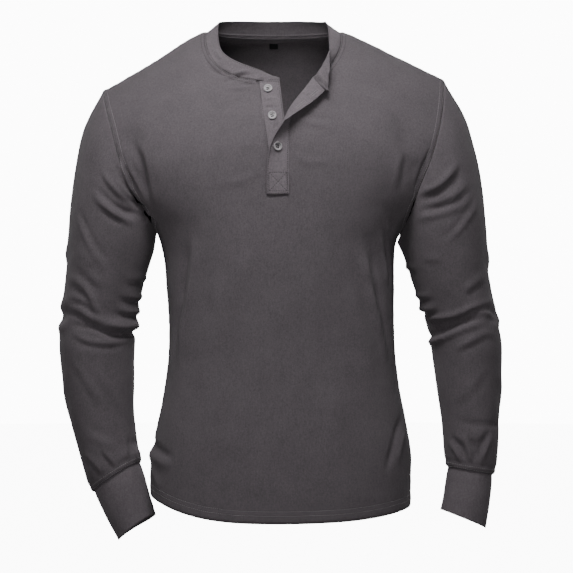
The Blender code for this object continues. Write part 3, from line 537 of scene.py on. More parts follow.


def jersey(name, colour, turn, rows, drawn, fade):
    """Heather jersey: fine mixed fibres, faint ribs along the piece, stitched grooves with painted
    shade in them, and painted shade towards the back where a fade is given.
    """
    finish, tree, shader = new_finish(name, JERSEY)
    along = object_place(tree, turn, (1, 1, STREAK_STRETCH))
    plain = object_place(tree)
    specks = [noise_at(tree, along if row.drawn_out else plain, row.scale, row.detail, FUZZ)
              for row in HEATHER]
    mixed = [(speck - 0.5) * row.share for speck, row in zip(specks, HEATHER)]
    heather = (sum(mixed[1:], mixed[0]) + 0.5).at_least(0.0).at_most(1.0)
    cloth = colour_mix(tree, heather, shade(colour, HEATHER_DARK), shade(colour, HEATHER_LIGHT))
    rib = noise_at(tree, object_place(tree, turn, (1, 1, RIB_STRETCH)), RIB_SCALE, detail=1.0)
    relief = rib * RIB_RELIEF + specks[0] * FIBRE_RELIEF
    if rows:
        groove = seam_lines(tree, rows)
        if drawn:
            groove = groove.at_least(drawn_lines(tree))
        # painted shade: the cloth's colour is darkened along the stitched grooves
        cloth = colour_mix(tree, groove * GROOVE_SHADE_SHARE, cloth, shade(colour, GROOVE_SHADE))
        relief = relief - groove * GROOVE_RELIEF
    # painted shade: darker towards the back, down to the fade share
    if fade < 1.0:
        behind = (part_of(tree, plain, 1) - BACK_SHADE_START) / (BACK_SHADE_END - BACK_SHADE_START)
        behind = behind.at_least(0.0).at_most(1.0)
        cloth = colour_mix(tree, behind, cloth, (fade, fade, fade, 1), "MULTIPLY")
    cloth.into(shader, "Base Color")
    bump(tree, strength=0.5, distance=0.35 * MM, height=relief).into(shader, "Normal")
    return finish


def thread_finish(name, colour):
    """Matt sewing thread, its twist a little lighter and darker."""
    finish, tree, shader = new_finish(name, {"Roughness": 0.7, "Specular IOR Level": 0.35})
    twist = noise_at(tree, object_place(tree), scale=2400, detail=1.0)
    mottle(shader, twist, colour, dark=0.8, light=1.25)
    return finish


RESIN_SMOOTH, RESIN_SCRATCHED = 0.34, 0.16    # roughness, and what the scratches add


def button_finish(name, colour):
    """Dull moulded resin, a little cloudy, with fine scratches in its gloss."""
    finish, tree, shader = new_finish(name, {"Specular IOR Level": 0.5})
    cloud = noise_at(tree, object_place(tree), scale=260, detail=3.0, roughness=0.6)
    mottle(shader, cloud, colour, dark=0.82, light=1.2)
    scratches = noise_at(tree, object_place(tree), scale=900)
    (RESIN_SMOOTH + scratches * RESIN_SCRATCHED).into(shader, "Roughness")
    return finish


def label_finish(name, colour):
    """Woven satin, black and blank."""
    finish, tree, shader = new_finish(name, {"Roughness": 0.55, "Specular IOR Level": 0.4})
    weave = noise_at(tree, object_place(tree, scale=(1, 1, 4)), scale=1500, detail=1.0)
    mottle(shader, weave, colour, dark=0.7, light=1.6)
    bump(tree, strength=0.4, distance=0.1 * MM, height=weave).into(shader, "Normal")
    return finish


FLOOR_GLOW = 0.9              # share of the background's brightness


def floor_finish(name, ground):
    """A pale floor that glows nearly as brightly as the background."""
    finish, tree, shader = new_finish(name, {
        "Roughness": 0.9, "Specular IOR Level": 0.1,
        "Emission Color": (1, 1, 1, 1), "Emission Strength": ground * FLOOR_GLOW})
    cloud = noise_at(tree, object_place(tree), scale=3.0)
    mottle(shader, cloud, (1, 1, 1), dark=0.86, light=0.90)
    return finish


def shared_finish(build, name, *details):
    """A material by its name, built at its first use."""
    return bpy.data.materials.get(name) or build(name, *details)


# ---------------------------------------------------------------- small steps on meshes

def only(piece):
    """Select one piece and nothing else."""
    bpy.ops.object.select_all(action="DESELECT")
    piece.select_set(True)
    bpy.context.view_layer.objects.active = piece


def added(primitive, **settings):
    """Add a primitive on its own in the selection."""
    bpy.ops.object.select_all(action="DESELECT")
    primitive(**settings)
    return bpy.context.object


def apply(piece, kind, **settings):
    """Add a modifier and apply it."""
    only(piece)
    modifier = piece.modifiers.new(kind.title(), kind)
    for key, value in settings.items():
        setattr(modifier, key, value)
    bpy.ops.object.modifier_apply(modifier=modifier.name)


def edit_faces(piece, test, step):
    """Select the faces that pass a test, and run an edit-mode step on them."""
    only(piece)
    bpy.ops.object.mode_set(mode="EDIT")
    bpy.ops.mesh.select_mode(type="FACE")
    bpy.ops.mesh.select_all(action="DESELECT")
    bpy.ops.object.mode_set(mode="OBJECT")
    for polygon in piece.data.polygons:
        polygon.select = test(polygon)
    bpy.ops.object.mode_set(mode="EDIT")
    step()
    bpy.ops.object.mode_set(mode="OBJECT")


def put(name, data):
    """Link a mesh, a light or a camera to the scene under a name."""
    piece = bpy.data.objects.new(name, data)
    bpy.context.scene.collection.objects.link(piece)
    return piece


def joined_copies(name, copies, polygons, finish, place=None):
    """One smooth piece of many copies of a small mesh, given as each copy's points."""
    size = len(copies[0])
    faces = [[copy * size + index for index in polygon]
             for copy in range(len(copies)) for polygon in polygons]
    mesh = bpy.data.meshes.new(name)
    mesh.from_pydata(np.concatenate(copies).tolist(), [], faces)
    if place is not None:
        mesh.transform(place)
    mesh.polygons.foreach_set("use_smooth", [True] * len(mesh.polygons))
    mesh.materials.append(finish)
    piece = put(name, mesh)
    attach(piece, "root")
    return piece


def as_array(mesh, attribute="co"):
    values = np.empty(len(mesh.vertices) * 3)
    mesh.vertices.foreach_get(attribute, values)
    return values.reshape(-1, 3)


def set_points(mesh, points):
    mesh.vertices.foreach_set("co", points.ravel())
    mesh.update()


def points_of(mesh):
    return [vert.co.copy() for vert in mesh.vertices]


def surface_of(meshes):
    """One surface to find places on, from one or more meshes."""
    points, polygons = [], []
    for mesh in meshes:
        start = len(points)
        points.extend(points_of(mesh))
        polygons.extend([start + index for index in polygon.vertices] for polygon in mesh.polygons)
    return BVHTree.FromPolygons(points, polygons)


def tree_of(points):
    tree = KDTree(len(points))
    for index, point in enumerate(points):
        tree.insert(point, index)
    tree.balance()
    return tree


def edge_gaps(points, edge):
    """How far each point is from an edge's points, as far as it matters."""
    if not edge:
        return np.full(len(points), FAR_EDGE)
    tree = tree_of(edge)
    return np.array([min(tree.find(point)[2], FAR_EDGE) for point in points])


# ---------------------------------------------------------------- shells from the solids

def islands(faces):
    """Groups of faces that hang together by their edges, in an order that never changes."""
    left = dict.fromkeys(faces)
    groups = []
    while left:
        queue = [left.popitem()[0]]
        group = []
        while queue:
            face = queue.pop()
            group.append(face)
            for edge in face.edges:
                for beside in edge.link_faces:
                    if beside in left:
                        del left[beside]
                        queue.append(beside)
        groups.append(group)
    return groups


def facing_front(group):
    """How far a layer's lowest faces look to the front."""
    low = min(face.calc_center_median().z for face in group)
    foot = [face for face in group if face.calc_center_median().z < low + FOOT]
    return -sum(face.normal.y * face.calc_area() for face in foot)


def whole_area(group):
    return sum(face.calc_area() for face in group)


def shown_layer(row):
    """The solid's layer that shows, as a bmesh; the node's own mesh is left alone."""
    work = bmesh.new()
    work.from_mesh(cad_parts[row.name].data)
    bmesh.ops.remove_doubles(work, verts=work.verts, dist=MERGE)
    work.normal_update()
    wall = row.wall * MM
    across = [edge for edge in work.edges if abs(edge.calc_length() - wall) < WALL_SLACK]
    rim = dict.fromkeys(face for edge in across for face in edge.link_faces)
    bmesh.ops.delete(work, geom=list(rim), context="FACES")
    layers = islands(work.faces)
    if len(layers) != 2:
        raise RuntimeError(f"{row.name} parts into {len(layers)} layers")
    layers.sort(key=whole_area if row.layer == "larger" else facing_front)
    bmesh.ops.delete(work, geom=layers[0], context="FACES")
    return work


def onward(face, diagonal, edge):
    """The face across an edge, and the diagonal there that runs the same way."""
    if len(edge.link_faces) == 2:
        apex = next(vert for vert in face.verts if vert not in diagonal.verts)
        beside = next(other for other in edge.link_faces if other is not face)
        for other in beside.edges:
            if other is not edge and apex in other.verts:
                return beside, other
    return None, None


def diagonal_family(seed, first):
    """Each triangle's diagonal, flooded out from one triangle's choice."""
    chosen = {seed: first}
    queue = [seed]
    while queue:
        face = queue.pop()
        diagonal = chosen[face]
        across = next((other for other in diagonal.link_faces if other is not face), None)
        steps = [(across, diagonal)]
        steps += [onward(face, diagonal, edge) for edge in face.edges if edge is not diagonal]
        for beside, other in steps:
            if beside is not None and beside not in chosen:
                chosen[beside] = other
                queue.append(beside)
    return chosen


def longest(face):
    return max(face.edges, key=lambda edge: edge.calc_length())


def to_quads(work):
    """Take out the family of edges that are mostly the longest of their triangles."""
    faces = list(work.faces)
    middle = sum((face.calc_center_median() for face in faces), Vector()) / len(faces)
    seed = min(faces, key=lambda face: (face.calc_center_median() - middle).length)
    families = [diagonal_family(seed, first) for first in seed.edges]
    best = max(families, key=lambda family: sum(
        edge is longest(face) for face, edge in family.items()))
    agreed = [edge for edge in work.edges if len(edge.link_faces) == 2
              and all(best.get(face) is edge for face in edge.link_faces)]
    bmesh.ops.dissolve_edges(work, edges=agreed, use_verts=False)


def turn_at(vert):
    """How sharply an open edge turns at a point of it."""
    open_edges = [edge for edge in vert.link_edges if edge.is_boundary]
    if len(open_edges) != 2:
        return math.pi
    before, after = (edge.other_vert(vert).co - vert.co for edge in open_edges)
    return math.pi - before.angle(after, 0.0)


def rims_of(mesh):
    """The open edges of a mesh as rings of vertices, each ending where it starts.

    With them, the two vertices beside each one.
    """
    uses = {}
    for polygon in mesh.polygons:
        for key in polygon.edge_keys:
            uses[key] = uses.get(key, 0) + 1
    beside = {}
    for (first, second), count in uses.items():
        if count == 1:
            beside.setdefault(first, []).append(second)
            beside.setdefault(second, []).append(first)
    rings = []
    seen = set()
    for start in sorted(beside):
        if start in seen:
            continue
        ring = []
        following = start
        while following is not None:
            ring.append(following)
            seen.add(following)
            following = next((vert for vert in beside[ring[-1]] if vert not in seen), None)
        rings.append(ring + [start])
    return rings, beside


def nearest_on_rim(point, places, index, beside):
    """The nearest place to a point on the two stretches of edge that meet at a vertex."""
    start = best = places[index]
    for following in beside[index]:
        span = places[following] - start
        share = np.clip((point - start) @ span / max(span @ span, 1e-12), 0, 1)
        place = start + span * share
        if np.linalg.norm(place - point) < np.linalg.norm(best - point):
            best = place
    return best


def outward_ways(mesh, points, rim):
    """For each vertex of an open edge, the way out of the cloth in its own surface."""
    inner = {}
    for edge in mesh.edges:
        first, second = edge.vertices
        for here, there in ((first, second), (second, first)):
            if here in rim and there not in rim:
                inner.setdefault(here, []).append(points[there])
    ways = {}
    for vert in rim:
        way = points[vert] - np.mean(inner[vert], axis=0) if vert in inner else np.zeros(3)
        ways[vert] = way / max(np.linalg.norm(way), 1e-9)
    return ways


class Shells:
    """The smooth outer layers of all cloth pieces, made once and shared by the operators.

    rims holds each piece's open edges, and near the other pieces' points that each edge
    point is sewn to, as gap, name and point. surface is all layers before their creases,
    and fields the creases on it. creased and outers hold the points and the surface of
    each piece that has its creases.
    """

    def __init__(self):
        works = {row.name: shown_layer(row) for row in CLOTHS}
        for work in works.values():
            to_quads(work)
        self.mark_corners(works)
        self.pieces = {row.name: self.divided(row, works[row.name]) for row in CLOTHS}
        self.rims = {name: rims_of(piece.data) for name, piece in self.pieces.items()}
        self.find_seams()
        self.smooth_normals()
        self.close_seams()
        self.surface = surface_of([piece.data for piece in self.pieces.values()])
        fields = [(row, crease_field(self.surface, row)) for row in CREASES]
        self.fields = [(row, field) for row, field in fields if field is not None]
        self.creased = {}
        self.outers = {}

    def mark_corners(self, works):
        """Keep sharp the corners of each cut, and the points where three pieces meet."""
        layers = {name: work.verts.layers.float.new("crease_vert") for name, work in works.items()}
        rims = {name: [vert for vert in work.verts if vert.is_boundary]
                for name, work in works.items()}
        trees = {name: tree_of([vert.co for vert in rim]) for name, rim in rims.items()}
        for name, rim in rims.items():
            for vert in rim:
                others = sum(1 for other, tree in trees.items()
                             if other != name and tree.find(vert.co)[2] < SEAM_REACH)
                if others >= 2 or turn_at(vert) > CORNER_TURN:
                    vert[layers[name]] = 1.0

    def divided(self, row, work):
        """A layer as an object, turned into fine smooth quads."""
        mesh = bpy.data.meshes.new(row.name + "_cloth")
        work.to_mesh(mesh)
        work.free()
        piece = put(row.name + "_cloth", mesh)
        apply(piece, "SUBSURF", levels=row.levels, render_levels=row.levels,
              boundary_smooth="PRESERVE_CORNERS")
        return piece

    def arrays(self, attribute="co"):
        return {name: as_array(piece.data, attribute) for name, piece in self.pieces.items()}

    def find_seams(self):
        """For each point of the open edges, which other pieces' points it is sewn to."""
        points = self.arrays()
        places = {name: sorted(beside) for name, (_, beside) in self.rims.items()}
        trees = {name: tree_of(points[name][verts]) for name, verts in places.items()}
        self.near = {name: {} for name in places}
        for name, verts in places.items():
            for vert in verts:
                near = []
                for other, tree in trees.items():
                    _, index, gap = tree.find(points[name][vert])
                    if other != name and gap < SEAM_REACH:
                        near.append((gap, other, places[other][index]))
                self.near[name][vert] = sorted(near)

    def smooth_normals(self):
        """Normals that agree on both sides of a seam, so that both sides move alike."""
        own = self.arrays("normal")
        self.normals = {name: values.copy() for name, values in own.items()}
        for name, partners in self.near.items():
            for vert, near in partners.items():
                total = own[name][vert].copy()
                for _, other, index in near:
                    if own[other][index] @ own[name][vert] > FACES_ALIKE:
                        total += own[other][index]
                self.normals[name][vert] = total / np.linalg.norm(total)

    def close_seams(self):
        """Move sewn edges together, a hair past each other, so that no light comes through."""
        points = self.arrays()
        moved = {name: values.copy() for name, values in points.items()}
        outward = outward_ways(self.pieces["front"].data, points["front"], self.near["front"])
        for name, partners in self.near.items():
            for vert, near in partners.items():
                here = points[name][vert]
                if name == "front" and any(other in STRIPS for _, other, _ in near):
                    moved[name][vert] = here + outward[vert] * UNDERLAP
                elif near and near[0][1] not in LOOSE and name not in LOOSE:
                    _, other, index = near[0]
                    target = nearest_on_rim(here, points[other], index, self.rims[other][1])
                    moved[name][vert] = here + (target - here) * CLOSING
        for name, piece in self.pieces.items():
            set_points(piece.data, moved[name])

    def sewn_to(self, name, vert, beside):
        """Whether an edge's point is sewn to a kind of piece, or is on the free hem."""
        near = self.near[name][vert]
        if beside == "any":
            return True
        if beside == "hem":
            return not near and self.pieces[name].data.vertices[vert].co.z < HEM_TOP
        return any(other.startswith(beside) for _, other, _ in near)

    def edge_points(self, name, beside):
        """Points of a piece's edge that are sewn to a kind of piece, or on its hem."""
        vertices = self.pieces[name].data.vertices
        return [vertices[vert].co for vert in self.near[name] if self.sewn_to(name, vert, beside)]

    def edge_runs(self, name, beside):
        """The stretches of a piece's edge that are sewn to a kind of piece, or its hem."""
        runs = []
        for ring in self.rims[name][0]:
            stretch = []
            for vert in ring + [None]:
                if vert is not None and self.sewn_to(name, vert, beside):
                    stretch.append(vert)
                else:
                    if len(stretch) >= SHORTEST_RUN:
                        runs.append(stretch)
                    stretch = []
        return runs


SHELLS = []


def shells():
    """The shells, made at the first call."""
    if not SHELLS:
        SHELLS.append(Shells())
    return SHELLS[0]


# ---------------------------------------------------------------- creases

def curve_points(path, step):
    """A smooth curve through the path's points, sampled at even steps."""
    points = [Vector((across * MM, up * MM)) for across, up in path]
    ends = [points[0] * 2 - points[1]] + points + [points[-1] * 2 - points[-2]]
    samples = []
    for a, b, c, d in zip(ends, ends[1:], ends[2:], ends[3:]):
        count = max(2, round((c - b).length / step))
        for index in range(count):
            t = index / count
            samples.append(0.5 * (2 * b + (c - a) * t + (2 * a - 5 * b + 4 * c - d) * t ** 2
                                  + (3 * b - a - 3 * c + d) * t ** 3))
    samples.append(points[-1])
    return samples


def drawn_on(surface, azimuth, path, step=SAMPLE_STEP):
    """Where a path drawn from one side falls on the cloth: places, normals, shares of its way.

    Past the cloth's outline the path goes on round it.
    """
    angle = math.radians(azimuth)
    out = Vector((math.sin(angle), -math.cos(angle), 0))
    side = Vector((math.cos(angle), math.sin(angle), 0))
    places, normals, along = [], [], []
    samples = curve_points(path, step)
    for index, sample in enumerate(samples):
        start = side * sample.x + out * FAR + Vector((0, 0, sample.y))
        place, normal, _, _ = surface.ray_cast(start, -out)
        looks = out
        if place is None or (places and (place - places[-1]).length > JUMP):
            if len(places) < 2:
                continue
            ahead = places[-1] + (places[-1] - places[-2]).normalized() * step
            place, normal, _, _ = surface.find_nearest(ahead)
            looks = normals[-1]
        places.append(place)
        normals.append(normal if normal.dot(looks) > 0 else -normal)
        along.append(index / (len(samples) - 1))
    return np.array(places), np.array(normals), np.array(along)


def crease_field(surface, row):
    """A crease as samples on the cloth: places, normals, side directions and strengths."""
    places, normals, along = drawn_on(surface, row.azimuth, row.path)
    if len(places) < 3:
        return None
    ways = np.gradient(places, axis=0)
    ways /= np.linalg.norm(ways, axis=1)[:, None]
    sides = np.cross(ways, normals)
    ends = np.clip(np.minimum(along, 1 - along) / TAPER, 0, 1)
    taper = ends * ends * (3 - 2 * ends)
    uneven = [1 + UNEVEN * noise.noise(Vector(place) * UNEVEN_SCALE) for place in places]
    return places, normals, sides, taper * np.array(uneven)


def press(points, normals, row, field, heights):
    """Add one crease's height to the points near it."""
    places, facing, sides, strength = field
    reach = row.width * MM * CREASE_REACH
    low, high = places.min(axis=0) - reach, places.max(axis=0) + reach
    near = np.where(np.all((points > low) & (points < high), axis=1))[0]
    if not len(near):
        return
    spans = points[near][:, None, :] - places[None, :, :]
    squares = (spans ** 2).sum(axis=2)
    nearest = squares.argmin(axis=1)
    pick = np.arange(len(near))
    gap = np.sqrt(squares[pick, nearest])
    agree = (facing[nearest] * normals[near]).sum(axis=1)
    side = (spans[pick, nearest] * sides[nearest]).sum(axis=1)
    signed = np.where(side >= 0, gap, -gap) / (row.width * MM)
    shape = np.exp(-signed ** 2)
    if row.lean:
        place = math.copysign(LEAN_PLACE, row.lean)
        shape -= abs(row.lean) * np.exp(-((signed - place) / LEAN_WIDTH) ** 2)
    mask = np.clip((abs(agree) - EDGE_ON) / EDGE_FADE, 0, 1) * np.sign(agree)
    heights[near] += row.depth * MM * shape * strength[nearest] * mask


def wave_height(point, edge_gap):
    """Soft unevenness, and ripples that die away from a stitched edge."""
    total = 0.0
    for wave in WAVES:
        place = Vector(point) / (wave.length * MM) + Vector((wave.seed, -wave.seed, wave.seed))
        total += wave.height * noise.noise(place)
    fade = math.exp(-(edge_gap / PUCKER_REACH) ** 2)
    if fade > PUCKER_LEAST:
        total += PUCKER * fade * noise.noise(Vector(point) * PUCKER_SCALE)
    return total * MM


def crease_piece(name, share):
    """Move a piece's points along its normals, by its creases, rolls and soft waves."""
    kit = shells()
    mesh = kit.pieces[name].data
    points = as_array(mesh)
    normals = kit.normals[name]
    heights = np.zeros(len(points))
    for row, field in kit.fields:
        press(points, normals, row, field, heights)
    heights *= share
    for roll in ROLLS:
        if name in roll.pieces:
            away = edge_gaps(points, kit.edge_points(name, roll.beside)) / MM
            heights += roll.height * MM * np.exp(-((away - roll.place) / roll.width) ** 2)
    gaps = edge_gaps(points, kit.edge_points(name, "any"))
    waves = np.array([wave_height(point, gap) for point, gap in zip(points, gaps)])
    points = points + normals * (heights + waves * CALM.get(name, 1.0))[:, None]
    if name in CUFFS:
        draw_up(points)
    set_points(mesh, points)
    kit.creased[name] = points_of(mesh)
    kit.outers[name] = surface_of([mesh])


def draw_up(points):
    """Lift the far side of a cuff's open end, so that its edge looks level from the front."""
    depth = points[:, 1]
    middle = (depth.max() + depth.min()) / 2
    behind = np.clip((depth - middle) / (depth.max() - middle), 0, 1)
    away = points[:, 2] - points[:, 2].min()
    points[:, 2] += CUFF_LIFT * behind * np.clip(1 - away / CUFF_REACH, 0, 1)


def own_rows(name):
    return [row for row in ROWS if name in row.pieces]


def grooves(name):
    """A piece's stitched grooves as the axis of its stored ways, the offset and the width."""
    return [(axis, offset, row.groove)
            for axis, row in enumerate(own_rows(name)) for offset in row.offsets]


def set_ways(mesh, name):
    """Store how far each point is from the seam beside each row of stitches, in mm."""
    points = as_array(mesh)
    values = np.zeros((len(points), 3))
    for axis, row in enumerate(own_rows(name)):
        values[:, axis] = edge_gaps(points, shells().edge_points(name, row.beside)) / MM
    attribute = mesh.attributes.new("ways", "FLOAT_VECTOR", "POINT")
    attribute.data.foreach_set("vector", values.ravel())


def set_drawn(mesh, surface):
    """Store how far each point is from the placket's drawn stitch lines, in mm."""
    drawn = []
    for line in BOX_LINES + HOLE_LINES:
        drawn.extend(drawn_on(surface, 0, line, GROOVE_STEP)[0])
    values = edge_gaps(as_array(mesh), drawn) / MM
    attribute = mesh.attributes.new("drawn", "FLOAT", "POINT")
    attribute.data.foreach_set("value", values)


def sewn_down(piece, wall):
    """A thicker wall where a strip lies on the front; its free flap keeps the plain wall."""
    front = shells().outers["front"]
    group = piece.vertex_groups.new(name="sewn down")
    lying = [vert.index for vert in piece.data.vertices
             if front.find_nearest(vert.co)[3] < SEWN_REACH]
    group.add(lying, 1.0, "REPLACE")
    return {"thickness": SEWN_WALL, "vertex_group": group.name,
            "thickness_vertex_group": wall / SEWN_WALL}


def make_cloth(context, name, finish, inner=None):
    """Crease a shell, give it its wall, and hide the solid that it stands for."""
    row = CLOTH[name]
    sizes = context.scene.henley_cloth
    piece = shells().pieces[name]
    if own_rows(name):
        set_ways(piece.data, name)
    crease_piece(name, sizes.crease)
    wall = min(sizes.wall, row.wall * MM)
    settings = {"thickness": wall}
    if name in STRIPS:
        set_drawn(piece.data, shells().outers[name])
        settings = sewn_down(piece, wall)
    piece.data.materials.clear()
    piece.data.materials.append(finish)
    if inner is not None:
        piece.data.materials.append(inner)
    apply(piece, "SOLIDIFY", offset=-1.0, use_even_offset=False,
          material_offset=0 if inner is None else 1, **settings)
    piece.data.polygons.foreach_set("use_smooth", [True] * len(piece.data.polygons))
    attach(piece, "root")
    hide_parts(name)


# ---------------------------------------------------------------- stitches

def stitch_mesh(length, thread):
    """One stitch along X: a short bead with pinched ends, modelled once."""
    bead = added(bpy.ops.mesh.primitive_cylinder_add, vertices=6, radius=thread / 2,
                 depth=length * BEAD_LENGTH, end_fill_type="NGON", rotation=(0, math.pi / 2, 0))
    bpy.ops.object.transform_apply(location=True, rotation=True, scale=True)
    edit_faces(bead, lambda polygon: abs(polygon.normal.x) > STRAIGHT,
               bpy.ops.mesh.extrude_faces_move)
    for vert in bead.data.vertices:
        if vert.select:
            vert.co = (math.copysign(length / 2, vert.co.x), vert.co.y * PINCH,
                       vert.co.z * PINCH - thread * SINK)
    points = as_array(bead.data)
    polygons = [list(polygon.vertices) for polygon in bead.data.polygons]
    bpy.data.objects.remove(bead)
    return points, polygons


def even_line(points, pitch):
    """Places and directions at even steps along a line of points."""
    line = np.array(points)
    steps = np.linalg.norm(np.diff(line, axis=0), axis=1)
    total = steps.sum()
    if total < pitch * 2:
        return []
    way = np.concatenate([[0], np.cumsum(steps)])
    count = max(1, int(total / pitch))
    targets = (np.arange(count) + 0.5) * total / count

    def at(where):
        return np.stack([np.interp(where, way, line[:, axis]) for axis in range(3)], axis=1)

    ways = at(targets + pitch * AIM_SHARE) - at(targets - pitch * AIM_SHARE)
    ways /= np.linalg.norm(ways, axis=1)[:, None]
    return list(zip(at(targets), ways))


def row_line(name, run, offset):
    """A line on a piece, at an offset in from a run of its edge (mm)."""
    kit = shells()
    rim, surface = kit.creased[name], kit.outers[name]
    line = []
    for index, vert in enumerate(run):
        before = rim[run[max(index - 1, 0)]]
        after = rim[run[min(index + 1, len(run) - 1)]]
        way = (after - before).normalized()
        inward = Vector(kit.normals[name][vert]).cross(way).normalized()
        sides = [surface.find_nearest(rim[vert] + inward * sign * offset * MM) for sign in (1, -1)]
        line.append(min(sides, key=lambda hit: hit[3])[0])
    smooth = np.array(line)
    for _ in range(ROW_EVENING):
        smooth[1:-1] = (smooth[:-2] + smooth[1:-1] * 2 + smooth[2:]) / 4
    return [surface.find_nearest(Vector(point))[0] for point in smooth]


def sew(label, lines, sizes, finish, pitch=None):
    """Set stitches along lines on the cloth's faces, all in one mesh."""
    pitch = pitch or sizes.pitch
    points, polygons = stitch_mesh(sizes.length * pitch / sizes.pitch, sizes.thread)
    copies = []
    for surface, line in lines:
        for place, way in even_line(line, pitch):
            _, normal, _, _ = surface.find_nearest(Vector(place))
            side = np.cross(np.array(normal), way)
            side /= np.linalg.norm(side)
            out = np.cross(way, side)
            turn = np.stack([way, side, out])
            copies.append(points @ turn + place + out * sizes.thread * RISE)
    if not copies:
        raise RuntimeError(f"{label} has no stitches")
    return joined_copies(label, copies, polygons, finish)


# ---------------------------------------------------------------- operators

def cloth_finish(context, label, share=1.0, turn=(0, 0, 0), rows=(), drawn=False, fade=1.0):
    """A jersey of the charcoal colour, times a share: a share other than one paints light or
    shade, and so does a fade below one.
    """
    colour = shade(context.scene.henley_cloth.charcoal, share)
    return shared_finish(jersey, "charcoal jersey, " + label, colour, turn, rows, drawn, fade)


ARM_LEAN = {"sleeve_right": 0.16, "sleeve_left": -0.16}    # how far the sleeves' ribs turn out
INSIDE_SHADE = 0.62             # painted shade: share of the charcoal on the tape and inside the cuffs


class HENLEY_OT_body(bpy.types.Operator):
    """Make the front and back panels as creased shells"""
    bl_idname = "henley.body"
    bl_label = "Front and back"

    def execute(self, context):
        finish = cloth_finish(context, "body", rows=grooves("front"))
        for name in TORSO:
            make_cloth(context, name, finish)
        return {"FINISHED"}


class HENLEY_OT_sleeves(bpy.types.Operator):
    """Make both sleeves as creased shells"""
    bl_idname = "henley.sleeves"
    bl_label = "Sleeves"

    def execute(self, context):
        for name in SLEEVES:
            side = name.split("_")[1]
            turn = (0, ARM_LEAN[name], 0)
            finish = cloth_finish(context, f"{side} sleeve", turn=turn, rows=grooves(name))
            make_cloth(context, name, finish)
        return {"FINISHED"}


class HENLEY_OT_bands(bpy.types.Operator):
    """Make the cuffs and the neckband as shells of the band jersey"""
    bl_idname = "henley.bands"
    bl_label = "Cuffs and neckband"

    def execute(self, context):
        # painted light: the band and the cuffs are lighter copies of the jersey
        finish = cloth_finish(context, "bands", share=1.12)
        cuff = cloth_finish(context, "cuffs", share=1.36)
        # painted shade: the cuffs' inner faces take a darker copy of the jersey
        shaded_inside = cloth_finish(context, "wrong side", share=INSIDE_SHADE)
        # the band's inner face: a lighter copy of the jersey as painted light, with painted shade
        # darkening it towards the back
        folded = cloth_finish(context, "folded band", share=1.15, fade=0.55)
        for name in CUFFS:
            make_cloth(context, name, cuff, shaded_inside)
        make_cloth(context, "neckband", finish, folded)
        return {"FINISHED"}


class HENLEY_OT_placket(bpy.types.Operator):
    """Make the two placket strips, the upper part of the outer one folded back"""
    bl_idname = "henley.placket"
    bl_label = "Placket"

    def execute(self, context):
        rows = grooves("placket_over")
        # painted light: the strips and the crossed box are lighter copies of the jersey
        finish = cloth_finish(context, "placket", share=1.27, rows=rows, drawn=True)
        face = cloth_finish(context, "box", share=1.45, rows=rows, drawn=True)
        make_cloth(context, "placket_under", finish)
        make_cloth(context, "placket_over", face, finish)
        return {"FINISHED"}


class HENLEY_OT_trims(bpy.types.Operator):
    """Make the tape inside the neck and its blank label"""
    bl_idname = "henley.trims"
    bl_label = "Tape and label"

    def execute(self, context):
        # painted shade: the tape inside the neck takes the darker copy of the jersey
        tape = cloth_finish(context, "wrong side", share=INSIDE_SHADE)
        make_cloth(context, "neck_tape", tape)
        colour = context.scene.henley_cloth.label
        make_cloth(context, "neck_label", shared_finish(label_finish, "black satin label", colour))
        return {"FINISHED"}


class HENLEY_OT_stitching(bpy.types.Operator):
    """Sew the rows of topstitching, the placket's crossed box and its buttonholes"""
    bl_idname = "henley.stitching"
    bl_label = "Stitching"

    def execute(self, context):
        kit = shells()
        sizes = context.scene.henley_stitch
        finishes = {}
        # painted shade: the near-black thread stands for the shadow lines along the placket, band
        # and box
        for name, share in (("charcoal thread", 1.0), ("dark thread", SHADED_THREAD)):
            finishes[name] = shared_finish(thread_finish, name, shade(sizes.colour, share))
        for row in ROWS:
            for name in row.pieces:
                lines = [(kit.outers[name], row_line(name, run, offset))
                         for run in kit.edge_runs(name, row.beside) for offset in row.offsets]
                piece = sew(f"stitches_{name}_{row.beside}", lines, sizes, finishes[row.thread])
        self.sew_drawn("stitches_placket_box", kit.outers["placket_over"], BOX_LINES, BOX_STEP,
                       sizes, finishes["dark thread"])
        flap = surface_of([bpy.data.objects["placket_over_cloth"].data])
        self.sew_drawn("stitches_buttonholes", flap, self.ring_sides(), HOLE_STEP,
                       sizes, finishes["charcoal thread"], HOLE_PITCH)
        return {"FINISHED"}

    def sew_drawn(self, label, surface, lines, step, sizes, finish, pitch=None):
        """Sew along lines drawn from the front, on the side of the cloth that shows there."""
        found = [drawn_on(surface, 0, line, step)[0] for line in lines]
        lines = [(surface, places) for places in found if len(places)]
        sew(label, lines, sizes, finish, pitch)

    def ring_sides(self):
        """The four sides of the ring of short stitches round each slit."""
        sides = []
        for start, end in HOLE_LINES:
            start, end = Vector(start), Vector(end)
            along = (end - start).normalized() * HOLE_SIDE
            aside = Vector((-along.y, along.x))
            corners = [start - along + aside, end + along + aside,
                       end + along - aside, start - along - aside]
            sides += [[tuple(first), tuple(second)]
                      for first, second in zip(corners, corners[1:] + corners[:1])]
        return sides


# A button's face, from the rim inwards: how far each step goes in, in shares of the
# radius, and how far it then sinks, in shares of the thickness
DISH = ((0.22, 0), (0.07, 0.34), (0.06, 0.20), (0.14, 0.04))
EDGE_ROUNDING = 0.28 * MM
DRILL = 8 * MM                # longer than a button is thick
FLAT_MIDDLE = 0.1 * MM        # how near the axis the middle of a round face lies
BUTTON_TILTS = (8, 20, -6)    # degrees, how each button is turned on its shank
BAR_THREAD = 0.8 * MM         # thickness of the thread between two holes
BAR_LENGTH = 1.794            # in spreads, so that its ends lie in the holes
HOLE_SHARE = 0.707            # of the spread, from the middle straight across to two holes
BAR_LANE = 0.35 * MM          # from the middle between two holes to each of the two threads
BAR_HEIGHT = 0.04             # above the button's middle, in shares of the thickness


